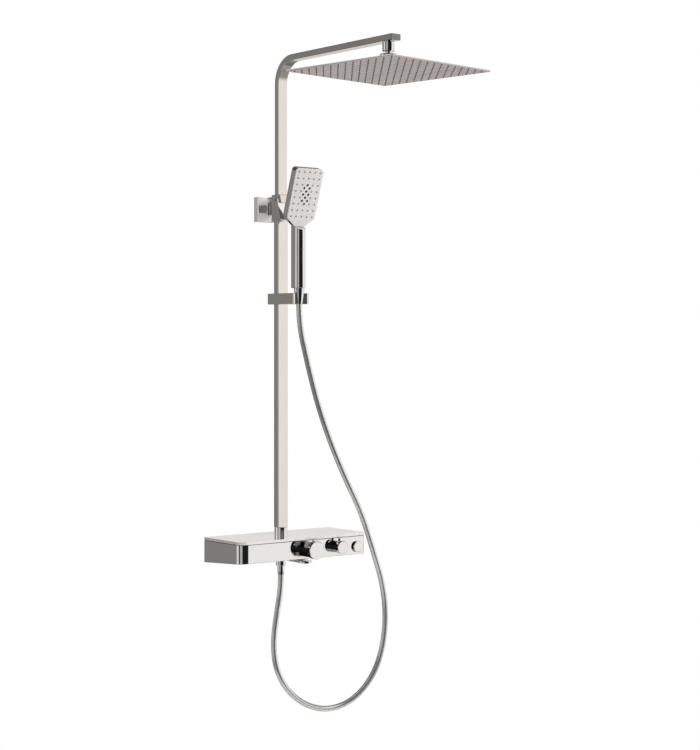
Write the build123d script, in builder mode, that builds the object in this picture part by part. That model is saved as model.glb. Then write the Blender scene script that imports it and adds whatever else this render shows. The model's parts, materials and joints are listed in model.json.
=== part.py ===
from build123d import *
import os
from math import cos, hypot, pi, radians, sin, tan

os.makedirs("parts", exist_ok=True)

# Rainfall shower column with a thermostatic shelf mixer. Millimetres, +Z up.
# The wall is the plane Y = 0 and the column stands in front of it, towards -Y.
# The origin is on the wall, midway between the two water inlets of the mixer.

# ---- overall layout -------------------------------------------------------------------
TUBE_OUT = 64.0           # riser axis in front of the wall
COLUMN_TOP = 1092.0       # top of the arm above the inlets
ARM_REACH = 401.0         # arm tip in front of the riser axis
BRACKET_Z = 756.0         # centre of the wall bracket
HOLDER_Z = 554.0          # centre of the hand shower holder
GAP = 0.3                 # free gap between pieces that move past each other
FIT = 0.1                 # gap of a close fit

# ---- riser tubes ----------------------------------------------------------------------
LOWER_W, LOWER_D, LOWER_WALL = 28.0, 16.0, 1.35
UPPER_WALL = 1.3
TUBE_FIT = 0.15           # gap round the upper tube inside the lower one
TUBE_ROUND = 1.6          # corner radius of the lower tube
BEND_R = 54.0             # bend radius at the middle of the upper tube
OVERLAP = 290.0           # upper tube hidden inside the lower one
CAP_T = 1.5               # end cap plate of the arm
PISTON_L = 26.0
SEAL_T = 3.0

# ---- wall bracket ---------------------------------------------------------------------
FLANGE, FLANGE_D, FLANGE_WALL = 56.0, 13.5, 2.2
PLATE_T = 4.0             # plate screwed to the wall under the flange
PLATE_HOLE_R, PLATE_HOLE_PITCH = 2.6, 32.0
GASKET_T = 1.2
ARM_ROOT_W, ARM_TIP_W, ARM_T = 46.0, 27.0, 14.6
ARM_PLATE_OUT = 32.0      # collar's rear face behind the riser axis
CLAMP_W, CLAMP_H = 32.0, 60.0
CLAMP_BACK, CLAMP_FRONT = 14.0, 11.5
TUBE_STOP = 1.0           # height of the lower tube's end above the clamp's middle
LEVER_EAR = 2.0
LEVER_PIVOT_Z = 18.0      # above the clamp's middle
LEVER_PIVOT_OUT = 1.0     # in front of the riser axis
LUG_W, LUG_T, LUG_L = 22.0, 12.2, 22.0

# ---- rain head ------------------------------------------------------------------------
HEAD_SIDE = 300.0
HEAD_YAW = 7.5            # the head stands turned on its ball joint
NECK_OUT = 376.0          # ball joint in front of the riser axis
HEAD_DROP = 62.0          # underside of the head below the arm
FACE_T, RIM_H, TOP_T, RIM_W = 0.9, 1.5, 1.0, 1.2
HEAD_ROWS, HEAD_PITCH = 14, 21.0
NOZZLE_HOLE_R = 1.75
BALL_R, BALL_UP = 10.0, 22.0   # ball centre above the head's underside
COLLAR_R, COLLAR_TOP = 19.0, 14.0
STEM_R, STEM_BORE_R = 6.0, 3.5
NUT_R, NUT_H = 12.6, 20.4
STUB_R, STUB_L = 9.0, 12.0

# ---- hand shower ----------------------------------------------------------------------
HANDSET_OUT = 68.0        # handle axis in front of the riser axis
HANDLE_W, HANDLE_D = 25.0, 28.6
HANDLE_BACK_ROUND = 2.0
HANDLE_FOOT = 577.0       # lower end of the handle
HANDLE_TOP = 722.0
PADDLE_W, PADDLE_T = 75.0, 18.5
PADDLE_TILT = 18.6        # face leans forward
PADDLE_Z, PADDLE_OUT = 728.0, 74.1   # lower end of the face's straight sides
PADDLE_L, PADDLE_NECK = 113.7, 17.3
FACE_PLATE_T = 2.2
SPRAY_PITCH = 14.3
SHELL_WALL = 2.0
BUTTON_W, BUTTON_L, BUTTON_Z = 10.0, 37.0, 682.0
BUTTON_PROUD = 0.5
PIPE_R, PIPE_BORE_R = 5.0, 3.8

# ---- holder ---------------------------------------------------------------------------
HOLDER_W, HOLDER_H = 44.0, 24.0
HOLDER_BACK, HOLDER_FRONT = 20.5, 75.0
FORK_W, FORK_BACK = 33.0, 47.0

# ---- hose -----------------------------------------------------------------------------
HOSE_R = 6.5
CONE_TOP_R, CONE_FOOT_R, CONE_H = 12.0, 8.0, 34.0
NUT_GAP = 0.3             # hand shower's foot above the cone nut
HOSE_NUT_R, HOSE_NUT_H = 11.2, 17.0
FERRULE_R, FERRULE_H = 7.8, 20.0

# ---- mixer ----------------------------------------------------------------------------
MIXER_W, MIXER_D = 345.0, 146.5
MIXER_GAP = 11.0          # back of the mixer in front of the wall
CASE_TOP, CASE_FOOT_BACK, CASE_FOOT_FRONT = 24.0, -24.0, -16.0
CASE_WALL = 3.0
FRONT_ROUND, BACK_ROUND = 19.0, 7.0
GLASS_T, GLASS_GAP, GASKET_IN = 6.0, 1.0, 1.2
INLET_PITCH = 150.0
INLET_R, INLET_BORE_R, INLET_BORE_L = 13.0, 9.4, 12.0
CONTROL_Z = 5.5
KNOB_X, KNOB_R, KNOB_CAP_R, KNOB_L = 3.0, 17.5, 19.8, 36.0
DIVERTER_X, DIVERTER_R, DIVERTER_CAP_R, DIVERTER_L = 83.6, 12.8, 14.2, 24.5
PUSH_X, PUSH_Z, PUSH_R, PUSH_L = 141.3, 1.2, 12.2, 5.2
CAP_H = 9.0               # length of a knob's wider end
CONNECTOR_R, CONNECTOR_H = 14.5, 16.0
SHANK_W, SHANK_D = 21.0, 10.0
SPOUT_W, SPOUT_L, SPOUT_T = 30.0, 30.0, 4.4
SPOUT_X = -14.0
SPOUT_DROP = 1.3          # the spout's tip below its root

# ---- worked out from the above ----------------------------------------------------------
TUBE_Y = -TUBE_OUT
BORE_W = LOWER_W - 2 * LOWER_WALL
BORE_D = LOWER_D - 2 * LOWER_WALL
UPPER_W = BORE_W - 2 * TUBE_FIT
UPPER_D = BORE_D - 2 * TUBE_FIT
ARM_Z = COLUMN_TOP - UPPER_D / 2
ARM_UNDER = COLUMN_TOP - UPPER_D
HEAD_Z = ARM_UNDER - HEAD_DROP
BALL_Z = HEAD_Z + BALL_UP
CASE_H = CASE_TOP - CASE_FOOT_BACK
CASE_BACK_Y = -MIXER_GAP
CASE_FRONT_Y = CASE_BACK_Y - MIXER_D
CASE_MID_Y = (CASE_BACK_Y + CASE_FRONT_Y) / 2
GLASS_FOOT = CASE_TOP + GLASS_GAP
SHELF_Z = GLASS_FOOT + GLASS_T
TUBE_FOOT = SHELF_Z + CONNECTOR_H
TUBE_TOP = BRACKET_Z + TUBE_STOP
UPPER_FOOT = TUBE_TOP - OVERLAP
HANDLE_Y = TUBE_Y - HANDSET_OUT
NECK_Y = TUBE_Y - NECK_OUT


def front_plane(y):
    """Sketch plane parallel to the wall: local x is +X, local y is +Z, normal -Y."""
    return Plane(origin=(0, y, 0), x_dir=(1, 0, 0), z_dir=(0, -1, 0))


def ahead(distance):
    """Y of a place that lies the given distance in front of the riser axis."""
    return TUBE_Y - distance


def case_foot(y):
    """Height of the mixer's sloping underside at the given Y."""
    along = (CASE_BACK_Y - y) / MIXER_D
    return CASE_FOOT_BACK + along * (CASE_FOOT_FRONT - CASE_FOOT_BACK)


def coil(radius, wire, length, turns, plane):
    """Helical spring of round wire along the plane's normal."""
    with BuildPart() as spring:
        with BuildLine():
            helix = Helix(
                pitch=length / turns,
                height=length,
                radius=radius,
                center=plane.origin,
                direction=plane.z_dir,
            )
        with BuildSketch(Plane(origin=helix @ 0, z_dir=helix % 0)):
            Circle(wire)
        sweep(path=helix, is_frenet=True)
    return spring.part


# =========================================================================================
# Wall bracket
# =========================================================================================
BOSS_R = 9.0
SPIGOT_R = 5.5
BOSS_LEN = FLANGE_D - FLANGE_WALL - PLATE_T - GAP

with BuildPart() as wall_plate:
    with BuildSketch(front_plane(0)):
        with Locations((0, BRACKET_Z)):
            RectangleRounded(46, 46, 3)
    extrude(amount=PLATE_T)
    with BuildSketch(front_plane(-PLATE_T)):
        with Locations((0, BRACKET_Z)):
            Circle(BOSS_R)
    extrude(amount=BOSS_LEN)
    with BuildSketch(front_plane(0)):
        with Locations((0, BRACKET_Z)):
            Circle(SPIGOT_R + FIT)
            with GridLocations(PLATE_HOLE_PITCH, 0, 2, 1):
                Circle(PLATE_HOLE_R)
    extrude(amount=PLATE_T + BOSS_LEN, mode=Mode.SUBTRACT)
wall_plate.part.label = "wall_plate"
export_step(wall_plate.part, "parts/wall_plate.step")

with BuildPart() as wall_flange:
    with BuildSketch(front_plane(0)):
        with Locations((0, BRACKET_Z)):
            RectangleRounded(FLANGE, FLANGE, 1.5)
    extrude(amount=FLANGE_D)
    chamfer(faces().sort_by(Axis.Y)[0].edges(), 0.8)
    with BuildSketch(front_plane(0)):
        with Locations((0, BRACKET_Z)):
            Rectangle(FLANGE - 2 * FLANGE_WALL, FLANGE - 2 * FLANGE_WALL)
    extrude(amount=FLANGE_D - FLANGE_WALL, mode=Mode.SUBTRACT)
    with BuildSketch(front_plane(0)):
        with Locations((0, BRACKET_Z)):
            Circle(SPIGOT_R + FIT)
    extrude(amount=FLANGE_D, mode=Mode.SUBTRACT)
wall_flange.part.label = "wall_flange"
export_step(wall_flange.part, "parts/wall_flange.step")

with BuildPart() as arm_gasket:
    with BuildSketch(front_plane(-FLANGE_D)):
        with Locations((0, BRACKET_Z)):
            Rectangle(ARM_ROOT_W + 1, ARM_T + 1)
            Circle(SPIGOT_R + FIT, mode=Mode.SUBTRACT)
    extrude(amount=GASKET_T)
arm_gasket.part.label = "arm_gasket"
export_step(arm_gasket.part, "parts/arm_gasket.step")

ARM_ROOT_Y = -FLANGE_D - GASKET_T
ARM_TIP_Y = ahead(-ARM_PLATE_OUT)
COLLAR_FRONT_Y = ahead(-CLAMP_BACK)
BOLT_R = 3.0
BOLT_HEAD_R, BOLT_HEAD_H = 5.0, 2.6

with BuildPart() as bracket_arm:
    with BuildSketch(Plane.XY.offset(BRACKET_Z - ARM_T / 2)):
        with BuildLine():
            Polyline(
                (-ARM_ROOT_W / 2, ARM_ROOT_Y),
                (ARM_ROOT_W / 2, ARM_ROOT_Y),
                (ARM_TIP_W / 2, ARM_TIP_Y),
                (-ARM_TIP_W / 2, ARM_TIP_Y),
                close=True,
            )
        make_face()
    extrude(amount=ARM_T)
    fillet(edges().filter_by(Plane.XY, reverse=True).group_by(Axis.Y)[1], 0.8)
    with BuildSketch(front_plane(-PLATE_T)):
        with Locations((0, BRACKET_Z)):
            Circle(SPIGOT_R)
    extrude(amount=-ARM_ROOT_Y - PLATE_T)
    with BuildSketch(front_plane(ARM_ROOT_Y + 6)):
        with Locations((0, BRACKET_Z)):
            Circle(BOLT_R + FIT)
    extrude(amount=ARM_ROOT_Y + 6 - ARM_TIP_Y, mode=Mode.SUBTRACT)
bracket_arm.part.label = "bracket_arm"
export_step(bracket_arm.part, "parts/bracket_arm.step")

COLLAR_NECK = 18.0
REAR_PLATE_T, FRONT_PLATE_T, COLLAR_WAIST = 2.5, 4.6, 3.4

with BuildPart() as arm_collar:
    with BuildSketch(front_plane(ARM_TIP_Y)):
        with Locations((0, BRACKET_Z)):
            RectangleRounded(COLLAR_NECK, COLLAR_NECK, 2)
    extrude(amount=ARM_TIP_Y - COLLAR_FRONT_Y)
    with BuildSketch(front_plane(ARM_TIP_Y)):
        with Locations((0, BRACKET_Z)):
            RectangleRounded(ARM_TIP_W, ARM_TIP_W, 1.5)
    extrude(amount=REAR_PLATE_T)
    with BuildSketch(front_plane(ARM_TIP_Y - REAR_PLATE_T - COLLAR_WAIST)):
        with Locations((0, BRACKET_Z)):
            RectangleRounded(ARM_TIP_W, ARM_TIP_W, 1.5)
    extrude(amount=FRONT_PLATE_T)
    with BuildSketch(front_plane(ARM_TIP_Y)):
        with Locations((0, BRACKET_Z)):
            Circle(BOLT_R + FIT)
    extrude(amount=ARM_TIP_Y - COLLAR_FRONT_Y, mode=Mode.SUBTRACT)
arm_collar.part.label = "arm_collar"
export_step(arm_collar.part, "parts/arm_collar.step")

# the bolt's flush head lies in the clamp's rear wall, behind the tube
BOLT_FACE_Y = ahead(-(LOWER_D / 2 + GAP))

with BuildPart() as arm_bolt:
    with BuildSketch(front_plane(ARM_ROOT_Y + 5)):
        with Locations((0, BRACKET_Z)):
            Circle(BOLT_R)
    extrude(amount=ARM_ROOT_Y + 5 - BOLT_FACE_Y)
    with BuildSketch(front_plane(BOLT_FACE_Y + BOLT_HEAD_H)):
        with Locations((0, BRACKET_Z)):
            Circle(BOLT_HEAD_R)
    extrude(amount=BOLT_HEAD_H)
    with BuildSketch(front_plane(BOLT_FACE_Y + 1.5)):
        with Locations((0, BRACKET_Z)):
            RegularPolygon(2.3, 6)
    extrude(amount=1.5, mode=Mode.SUBTRACT)
arm_bolt.part.label = "arm_bolt"
export_step(arm_bolt.part, "parts/arm_bolt.step")

CLAMP_MID_Y = ahead((CLAMP_FRONT - CLAMP_BACK) / 2)
CLAMP_D = CLAMP_BACK + CLAMP_FRONT
LUG_Z = BRACKET_Z + ARM_TIP_W / 2 + LUG_T / 2 + 0.6
SCREW_R = 3.0
PAD_W, PAD_H, PAD_Z = 17.6, 9.6, BRACKET_Z + 7.0
PIN_R = 2.0
PIVOT_Y = ahead(LEVER_PIVOT_OUT)
PIVOT_Z = BRACKET_Z + LEVER_PIVOT_Z

with BuildPart() as clamp_body:
    with BuildSketch(Plane.XY.offset(BRACKET_Z - CLAMP_H / 2)):
        with Locations((0, CLAMP_MID_Y)):
            RectangleRounded(CLAMP_W, CLAMP_D, 1.2)
    extrude(amount=CLAMP_H)
    chamfer(faces().sort_by(Axis.Z)[-1].edges(), 1.0)
    # rear lug for the tension screw
    with BuildSketch(front_plane(ahead(-CLAMP_BACK) + LUG_L)):
        with Locations((0, LUG_Z)):
            RectangleRounded(LUG_W, LUG_T, 3)
    extrude(amount=LUG_L + 1)
    with BuildSketch(front_plane(ahead(-CLAMP_BACK) + LUG_L)):
        with Locations((0, LUG_Z)):
            Circle(SCREW_R + FIT)
    extrude(amount=LUG_L + CLAMP_BACK, mode=Mode.SUBTRACT)
    # seat of the lower tube, open at the foot
    with BuildSketch(Plane.XY.offset(BRACKET_Z - CLAMP_H / 2)):
        with Locations((0, TUBE_Y)):
            RectangleRounded(LOWER_W + 2 * FIT, LOWER_D + 2 * FIT, TUBE_ROUND)
    extrude(amount=CLAMP_H / 2 + TUBE_STOP, mode=Mode.SUBTRACT)
    # passage of the upper tube, open at the top
    with BuildSketch(Plane.XY.offset(TUBE_TOP)):
        with Locations((0, TUBE_Y)):
            Rectangle(UPPER_W + 2 * GAP, UPPER_D + 2 * GAP)
    extrude(amount=CLAMP_H / 2 - TUBE_STOP, mode=Mode.SUBTRACT)
    # window of the brake pad
    with BuildSketch(front_plane(TUBE_Y)):
        with Locations((0, PAD_Z)):
            Rectangle(PAD_W + 2 * FIT, PAD_H + 2 * FIT)
    extrude(amount=CLAMP_FRONT, mode=Mode.SUBTRACT)
    # lever pins
    with BuildSketch(Plane.YZ.offset(-CLAMP_W / 2)):
        with Locations((PIVOT_Y, PIVOT_Z)):
            Circle(PIN_R + FIT)
    extrude(amount=CLAMP_W, mode=Mode.SUBTRACT)
    # flush seat and hole of the arm bolt
    with BuildSketch(front_plane(COLLAR_FRONT_Y)):
        with Locations((0, BRACKET_Z)):
            Circle(BOLT_R + FIT)
    extrude(amount=CLAMP_BACK, mode=Mode.SUBTRACT)
    with BuildSketch(front_plane(BOLT_FACE_Y + BOLT_HEAD_H)):
        with Locations((0, BRACKET_Z)):
            Circle(BOLT_HEAD_R + FIT)
    extrude(amount=BOLT_HEAD_H + 1, mode=Mode.SUBTRACT)
clamp_body.part.label = "clamp_body"
export_step(clamp_body.part, "parts/clamp_body.step")

with BuildPart() as clamp_pad:
    with BuildSketch(front_plane(ahead(UPPER_D / 2 + GAP))):
        with Locations((0, PAD_Z)):
            Rectangle(PAD_W, PAD_H)
    extrude(amount=CLAMP_FRONT - UPPER_D / 2 - GAP)
clamp_pad.part.label = "clamp_pad"
export_step(clamp_pad.part, "parts/clamp_pad.step")

with BuildPart() as tension_screw:
    with BuildSketch(front_plane(ahead(-CLAMP_BACK) + LUG_L)):
        with Locations((0, LUG_Z)):
            Circle(SCREW_R)
    extrude(amount=LUG_L + CLAMP_BACK - UPPER_D / 2 - GAP)
    with BuildSketch(front_plane(ahead(-CLAMP_BACK) + LUG_L + 5)):
        with Locations((0, LUG_Z)):
            Circle(5.4)
            RegularPolygon(2.3, 6, mode=Mode.SUBTRACT)
    extrude(amount=5)
    chamfer(faces().sort_by(Axis.Y)[-1].outer_wire().edges(), 0.6)
tension_screw.part.label = "tension_screw"
export_step(tension_screw.part, "parts/tension_screw.step")

# Flip lever: two ears beside the clamp and a wedge in front of it.
EAR_IN = CLAMP_W / 2 + GAP
LEVER_FRONT = CLAMP_FRONT + GAP
LEVER_TIP = LEVER_FRONT + 11.0
LEVER_FOOT_Z = BRACKET_Z - CLAMP_H / 2 + 3.0
LEVER_TOP_Z = PAD_Z + PAD_H / 2 - 1.0
EAR_R = 5.5

with BuildPart() as clamp_lever:
    with BuildSketch(Plane.YZ.offset(-EAR_IN - LEVER_EAR)):
        with BuildLine():
            Polyline(
                (ahead(LEVER_PIVOT_OUT), PIVOT_Z + EAR_R),
                (ahead(LEVER_FRONT), PIVOT_Z + 2),
                (ahead(LEVER_TIP), LEVER_FOOT_Z + 2),
                (ahead(LEVER_TIP - 3), LEVER_FOOT_Z),
                (ahead(LEVER_FRONT), LEVER_FOOT_Z),
                (ahead(LEVER_FRONT), BRACKET_Z + 6),
                (ahead(LEVER_PIVOT_OUT), PIVOT_Z - EAR_R),
                close=True,
            )
        make_face()
        with Locations((PIVOT_Y, PIVOT_Z)):
            Circle(EAR_R)
    extrude(amount=2 * (EAR_IN + LEVER_EAR))
    # the middle is cut back to the wedge in front of the clamp
    with BuildSketch(Plane.YZ.offset(-EAR_IN)):
        with BuildLine():
            Polyline(
                (ahead(-CLAMP_BACK), PIVOT_Z + 30),
                (ahead(LEVER_TIP + 8), PIVOT_Z + 30),
                (ahead(LEVER_TIP + 8), LEVER_TOP_Z),
                (ahead(LEVER_FRONT), LEVER_TOP_Z),
                (ahead(LEVER_FRONT), LEVER_FOOT_Z - 5),
                (ahead(-CLAMP_BACK), LEVER_FOOT_Z - 5),
                close=True,
            )
        make_face()
    extrude(amount=2 * EAR_IN, mode=Mode.SUBTRACT)
    with BuildSketch(Plane.YZ.offset(-EAR_IN - LEVER_EAR)):
        with Locations((PIVOT_Y, PIVOT_Z)):
            Circle(PIN_R + FIT)
    extrude(amount=2 * (EAR_IN + LEVER_EAR), mode=Mode.SUBTRACT)
clamp_lever.part.label = "clamp_lever"
export_step(clamp_lever.part, "parts/clamp_lever.step")

PIN_IN = UPPER_W / 2 + GAP
PIN_HEAD_R, PIN_HEAD_T = 3.4, 1.0

with BuildPart() as lever_pins:
    for side in (-1, 1):
        with BuildSketch(Plane.YZ.offset(side * PIN_IN)):
            with Locations((PIVOT_Y, PIVOT_Z)):
                Circle(PIN_R)
        extrude(amount=side * (EAR_IN + LEVER_EAR + GAP - PIN_IN))
        with BuildSketch(Plane.YZ.offset(side * (EAR_IN + LEVER_EAR + GAP))):
            with Locations((PIVOT_Y, PIVOT_Z)):
                Circle(PIN_HEAD_R)
                Rectangle(1, 2 * PIN_HEAD_R - 2, mode=Mode.SUBTRACT)
        extrude(amount=side * PIN_HEAD_T)
lever_pins.part.label = "lever_pins"
export_step(lever_pins.part, "parts/lever_pins.step")

# =========================================================================================
# Riser
# =========================================================================================
with BuildPart() as lower_tube:
    with BuildSketch(Plane.XY.offset(TUBE_FOOT)):
        with Locations((0, TUBE_Y)):
            RectangleRounded(LOWER_W, LOWER_D, TUBE_ROUND)
            RectangleRounded(BORE_W, BORE_D, TUBE_ROUND / 3, mode=Mode.SUBTRACT)
    extrude(amount=TUBE_TOP - TUBE_FOOT)
lower_tube.part.label = "lower_tube"
export_step(lower_tube.part, "parts/lower_tube.step")

WATER_R = 3.5
SHANK_FOOT = CONTROL_Z + 5.0

with BuildPart() as base_connector:
    with BuildSketch(Plane.XY.offset(SHELF_Z)):
        with Locations((0, TUBE_Y)):
            Circle(CONNECTOR_R)
    extrude(amount=CONNECTOR_H)
    chamfer(faces().sort_by(Axis.Z)[-1].edges(), 0.8)
    with BuildSketch(Plane.XY.offset(TUBE_FOOT)):
        with Locations((0, TUBE_Y)):
            Rectangle(BORE_W - 2 * FIT - 1, BORE_D - 2 * FIT - 1)
    extrude(amount=26)
    with BuildSketch(Plane.XY.offset(SHANK_FOOT)):
        with Locations((0, TUBE_Y)):
            RectangleRounded(SHANK_W, SHANK_D, 2)
    extrude(amount=SHELF_Z - SHANK_FOOT)
    with BuildSketch(Plane.XY.offset(SHANK_FOOT)):
        with Locations((0, TUBE_Y)):
            Circle(WATER_R)
    extrude(amount=TUBE_FOOT + 26 - SHANK_FOOT, mode=Mode.SUBTRACT)
base_connector.part.label = "base_connector"
export_step(base_connector.part, "parts/base_connector.step")

ARM_TUBE_END = ARM_REACH - CAP_T

with BuildPart() as upper_tube:
    with BuildLine(Plane.YZ):
        arm_path = FilletPolyline(
            (TUBE_Y, UPPER_FOOT),
            (TUBE_Y, ARM_Z),
            (ahead(ARM_TUBE_END), ARM_Z),
            radius=BEND_R,
        )
    with BuildSketch(Plane.XY.offset(UPPER_FOOT)):
        with Locations((0, TUBE_Y)):
            RectangleRounded(UPPER_W, UPPER_D, TUBE_ROUND - 0.4)
            Rectangle(UPPER_W - 2 * UPPER_WALL, UPPER_D - 2 * UPPER_WALL, mode=Mode.SUBTRACT)
    sweep(path=arm_path)
    with BuildSketch(Plane.XY.offset(ARM_UNDER - 1)):
        with Locations((0, NECK_Y)):
            Circle(STUB_R + FIT)
    extrude(amount=UPPER_WALL + 2, mode=Mode.SUBTRACT)
upper_tube.part.label = "upper_tube"
export_step(upper_tube.part, "parts/upper_tube.step")

PLUG_W = UPPER_W - 2 * UPPER_WALL - 2 * FIT
PLUG_D = UPPER_D - 2 * UPPER_WALL - 2 * FIT
GROOVE = 1.6

with BuildPart() as guide_piston:
    with BuildSketch(Plane.XY.offset(UPPER_FOOT - PISTON_L)):
        with Locations((0, TUBE_Y)):
            Rectangle(UPPER_W, UPPER_D)
    extrude(amount=PISTON_L)
    for level in (6, PISTON_L - 6 - SEAL_T):
        with BuildSketch(Plane.XY.offset(UPPER_FOOT - PISTON_L + level)):
            with Locations((0, TUBE_Y)):
                Rectangle(UPPER_W, UPPER_D)
                Rectangle(UPPER_W - 2 * GROOVE, UPPER_D - 2 * GROOVE, mode=Mode.SUBTRACT)
        extrude(amount=SEAL_T, mode=Mode.SUBTRACT)
    with BuildSketch(Plane.XY.offset(UPPER_FOOT)):
        with Locations((0, TUBE_Y)):
            Rectangle(PLUG_W, PLUG_D)
    extrude(amount=14)
    with BuildSketch(Plane.XY.offset(UPPER_FOOT - PISTON_L)):
        with Locations((0, TUBE_Y)):
            Circle(WATER_R - 0.5)
    extrude(amount=PISTON_L + 14, mode=Mode.SUBTRACT)
guide_piston.part.label = "guide_piston"
export_step(guide_piston.part, "parts/guide_piston.step")

with BuildPart() as piston_seals:
    for level in (6, PISTON_L - 6 - SEAL_T):
        with BuildSketch(Plane.XY.offset(UPPER_FOOT - PISTON_L + level)):
            with Locations((0, TUBE_Y)):
                RectangleRounded(UPPER_W + TUBE_FIT, UPPER_D + TUBE_FIT, TUBE_ROUND / 2)
                Rectangle(UPPER_W - 2 * GROOVE, UPPER_D - 2 * GROOVE, mode=Mode.SUBTRACT)
        extrude(amount=SEAL_T)
piston_seals.part.label = "piston_seals"
export_step(piston_seals.part, "parts/piston_seals.step")

with BuildPart() as arm_cap:
    with BuildSketch(front_plane(ahead(ARM_TUBE_END))):
        with Locations((0, ARM_Z)):
            RectangleRounded(UPPER_W, UPPER_D, TUBE_ROUND - 0.4)
    extrude(amount=CAP_T)
    chamfer(faces().sort_by(Axis.Y)[0].edges(), 0.5)
    with BuildSketch(front_plane(ahead(ARM_TUBE_END))):
        with Locations((0, ARM_Z)):
            Rectangle(PLUG_W, PLUG_D)
    extrude(amount=-8)
arm_cap.part.label = "arm_cap"
export_step(arm_cap.part, "parts/arm_cap.step")

# threaded outlet block inside the arm, with its stub below the arm
BLOCK_L = 26.0
BLOCK_FOOT = ARM_UNDER + UPPER_WALL + FIT

with BuildPart() as outlet_boss:
    with BuildSketch(Plane.XY.offset(BLOCK_FOOT)):
        with Locations((0, NECK_Y)):
            Rectangle(PLUG_W, BLOCK_L)
    extrude(amount=PLUG_D)
    with BuildSketch(Plane.XY.offset(ARM_UNDER - STUB_L)):
        with Locations((0, NECK_Y)):
            Circle(STUB_R)
    extrude(amount=STUB_L + UPPER_WALL + 1)
    with BuildSketch(Plane.XY.offset(ARM_UNDER - STUB_L)):
        with Locations((0, NECK_Y)):
            Circle(STUB_R - 2.2)
    extrude(amount=STUB_L + PLUG_D / 2, mode=Mode.SUBTRACT)
outlet_boss.part.label = "outlet_boss"
export_step(outlet_boss.part, "parts/outlet_boss.step")

# =========================================================================================
# Ball joint and rain head
# =========================================================================================
head_axis = Plane(
    origin=(0, NECK_Y, 0),
    x_dir=(cos(radians(HEAD_YAW)), sin(radians(HEAD_YAW)), 0),
    z_dir=(0, 0, 1),
)
neck_section = Plane(origin=(0, NECK_Y, 0), x_dir=(1, 0, 0), z_dir=(0, -1, 0))
NUT_TOP = ARM_UNDER - 1.0
NUT_FOOT = NUT_TOP - NUT_H
NUT_FLOOR = 3.0

with BuildPart() as swivel_nut:
    with BuildSketch(Plane.XY.offset(NUT_FOOT)):
        with Locations((0, NECK_Y)):
            Circle(NUT_R)
    extrude(amount=NUT_H)
    chamfer(faces().sort_by(Axis.Z)[0].edges(), 1.8, 1.2)
    fillet(faces().sort_by(Axis.Z)[-1].edges(), 0.6)
    with BuildSketch(Plane.XY.offset(NUT_FOOT)):
        with Locations((0, NECK_Y)):
            Circle(STEM_R + FIT)
    extrude(amount=NUT_H, mode=Mode.SUBTRACT)
    with BuildSketch(Plane.XY.offset(NUT_FOOT + NUT_FLOOR)):
        with Locations((0, NECK_Y)):
            Circle(STUB_R + FIT)
    extrude(amount=NUT_H, mode=Mode.SUBTRACT)
swivel_nut.part.label = "swivel_nut"
export_step(swivel_nut.part, "parts/swivel_nut.step")

STEM_FLANGE_R, STEM_FLANGE_T = 8.4, 2.5

with BuildPart() as ball_stem:
    with BuildSketch(Plane.XY.offset(BALL_Z)):
        with Locations((0, NECK_Y)):
            Circle(STEM_R)
    extrude(amount=NUT_FOOT + NUT_FLOOR - BALL_Z + FIT)
    with BuildSketch(Plane.XY.offset(NUT_FOOT + NUT_FLOOR + FIT)):
        with Locations((0, NECK_Y)):
            Circle(STEM_FLANGE_R)
    extrude(amount=STEM_FLANGE_T)
    with Locations((0, NECK_Y, BALL_Z)):
        Sphere(BALL_R)
    with BuildSketch(Plane.XY.offset(BALL_Z - BALL_R)):
        with Locations((0, NECK_Y)):
            Circle(STEM_BORE_R)
    extrude(amount=60, mode=Mode.SUBTRACT)
ball_stem.part.label = "ball_stem"
export_step(ball_stem.part, "parts/ball_stem.step")

# The collar screws onto the head's hub and holds the ball from above.
PLATE_TOP = HEAD_Z + FACE_T + RIM_H + TOP_T
HUB_R, HUB_BORE_R = 14.0, 11.0
HUB_TOP = BALL_Z - 5.0
SEAT_GAP = 0.15
COLLAR_FOOT = PLATE_TOP + 2.0
MOUTH_R = 10.8

with BuildPart() as ball_collar:
    with BuildSketch(neck_section):
        with BuildLine():
            Polyline(
                (HUB_R + FIT, COLLAR_FOOT),
                (COLLAR_R, COLLAR_FOOT),
                (COLLAR_R, BALL_Z + COLLAR_TOP - 2.5),
                (COLLAR_R - 2.5, BALL_Z + COLLAR_TOP),
                (MOUTH_R, BALL_Z + COLLAR_TOP),
                (8.2, BALL_Z + 6.4),
                (8.2, BALL_Z),
                (HUB_R + FIT, BALL_Z),
                close=True,
            )
        make_face()
    revolve(axis=Axis((0, NECK_Y, 0), (0, 0, 1)))
    with Locations((0, NECK_Y, BALL_Z)):
        Sphere(BALL_R + SEAT_GAP, mode=Mode.SUBTRACT)
ball_collar.part.label = "ball_collar"
export_step(ball_collar.part, "parts/ball_collar.step")

with BuildPart() as ball_seat:
    with BuildSketch(Plane.XY.offset(BALL_Z - BALL_R - 2)):
        with Locations((0, NECK_Y)):
            Circle(HUB_BORE_R - FIT)
            Circle(STEM_BORE_R + 1.5, mode=Mode.SUBTRACT)
    extrude(amount=8)
    with Locations((0, NECK_Y, BALL_Z)):
        Sphere(BALL_R + SEAT_GAP, mode=Mode.SUBTRACT)
ball_seat.part.label = "ball_seat"
export_step(ball_seat.part, "parts/ball_seat.step")

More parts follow.
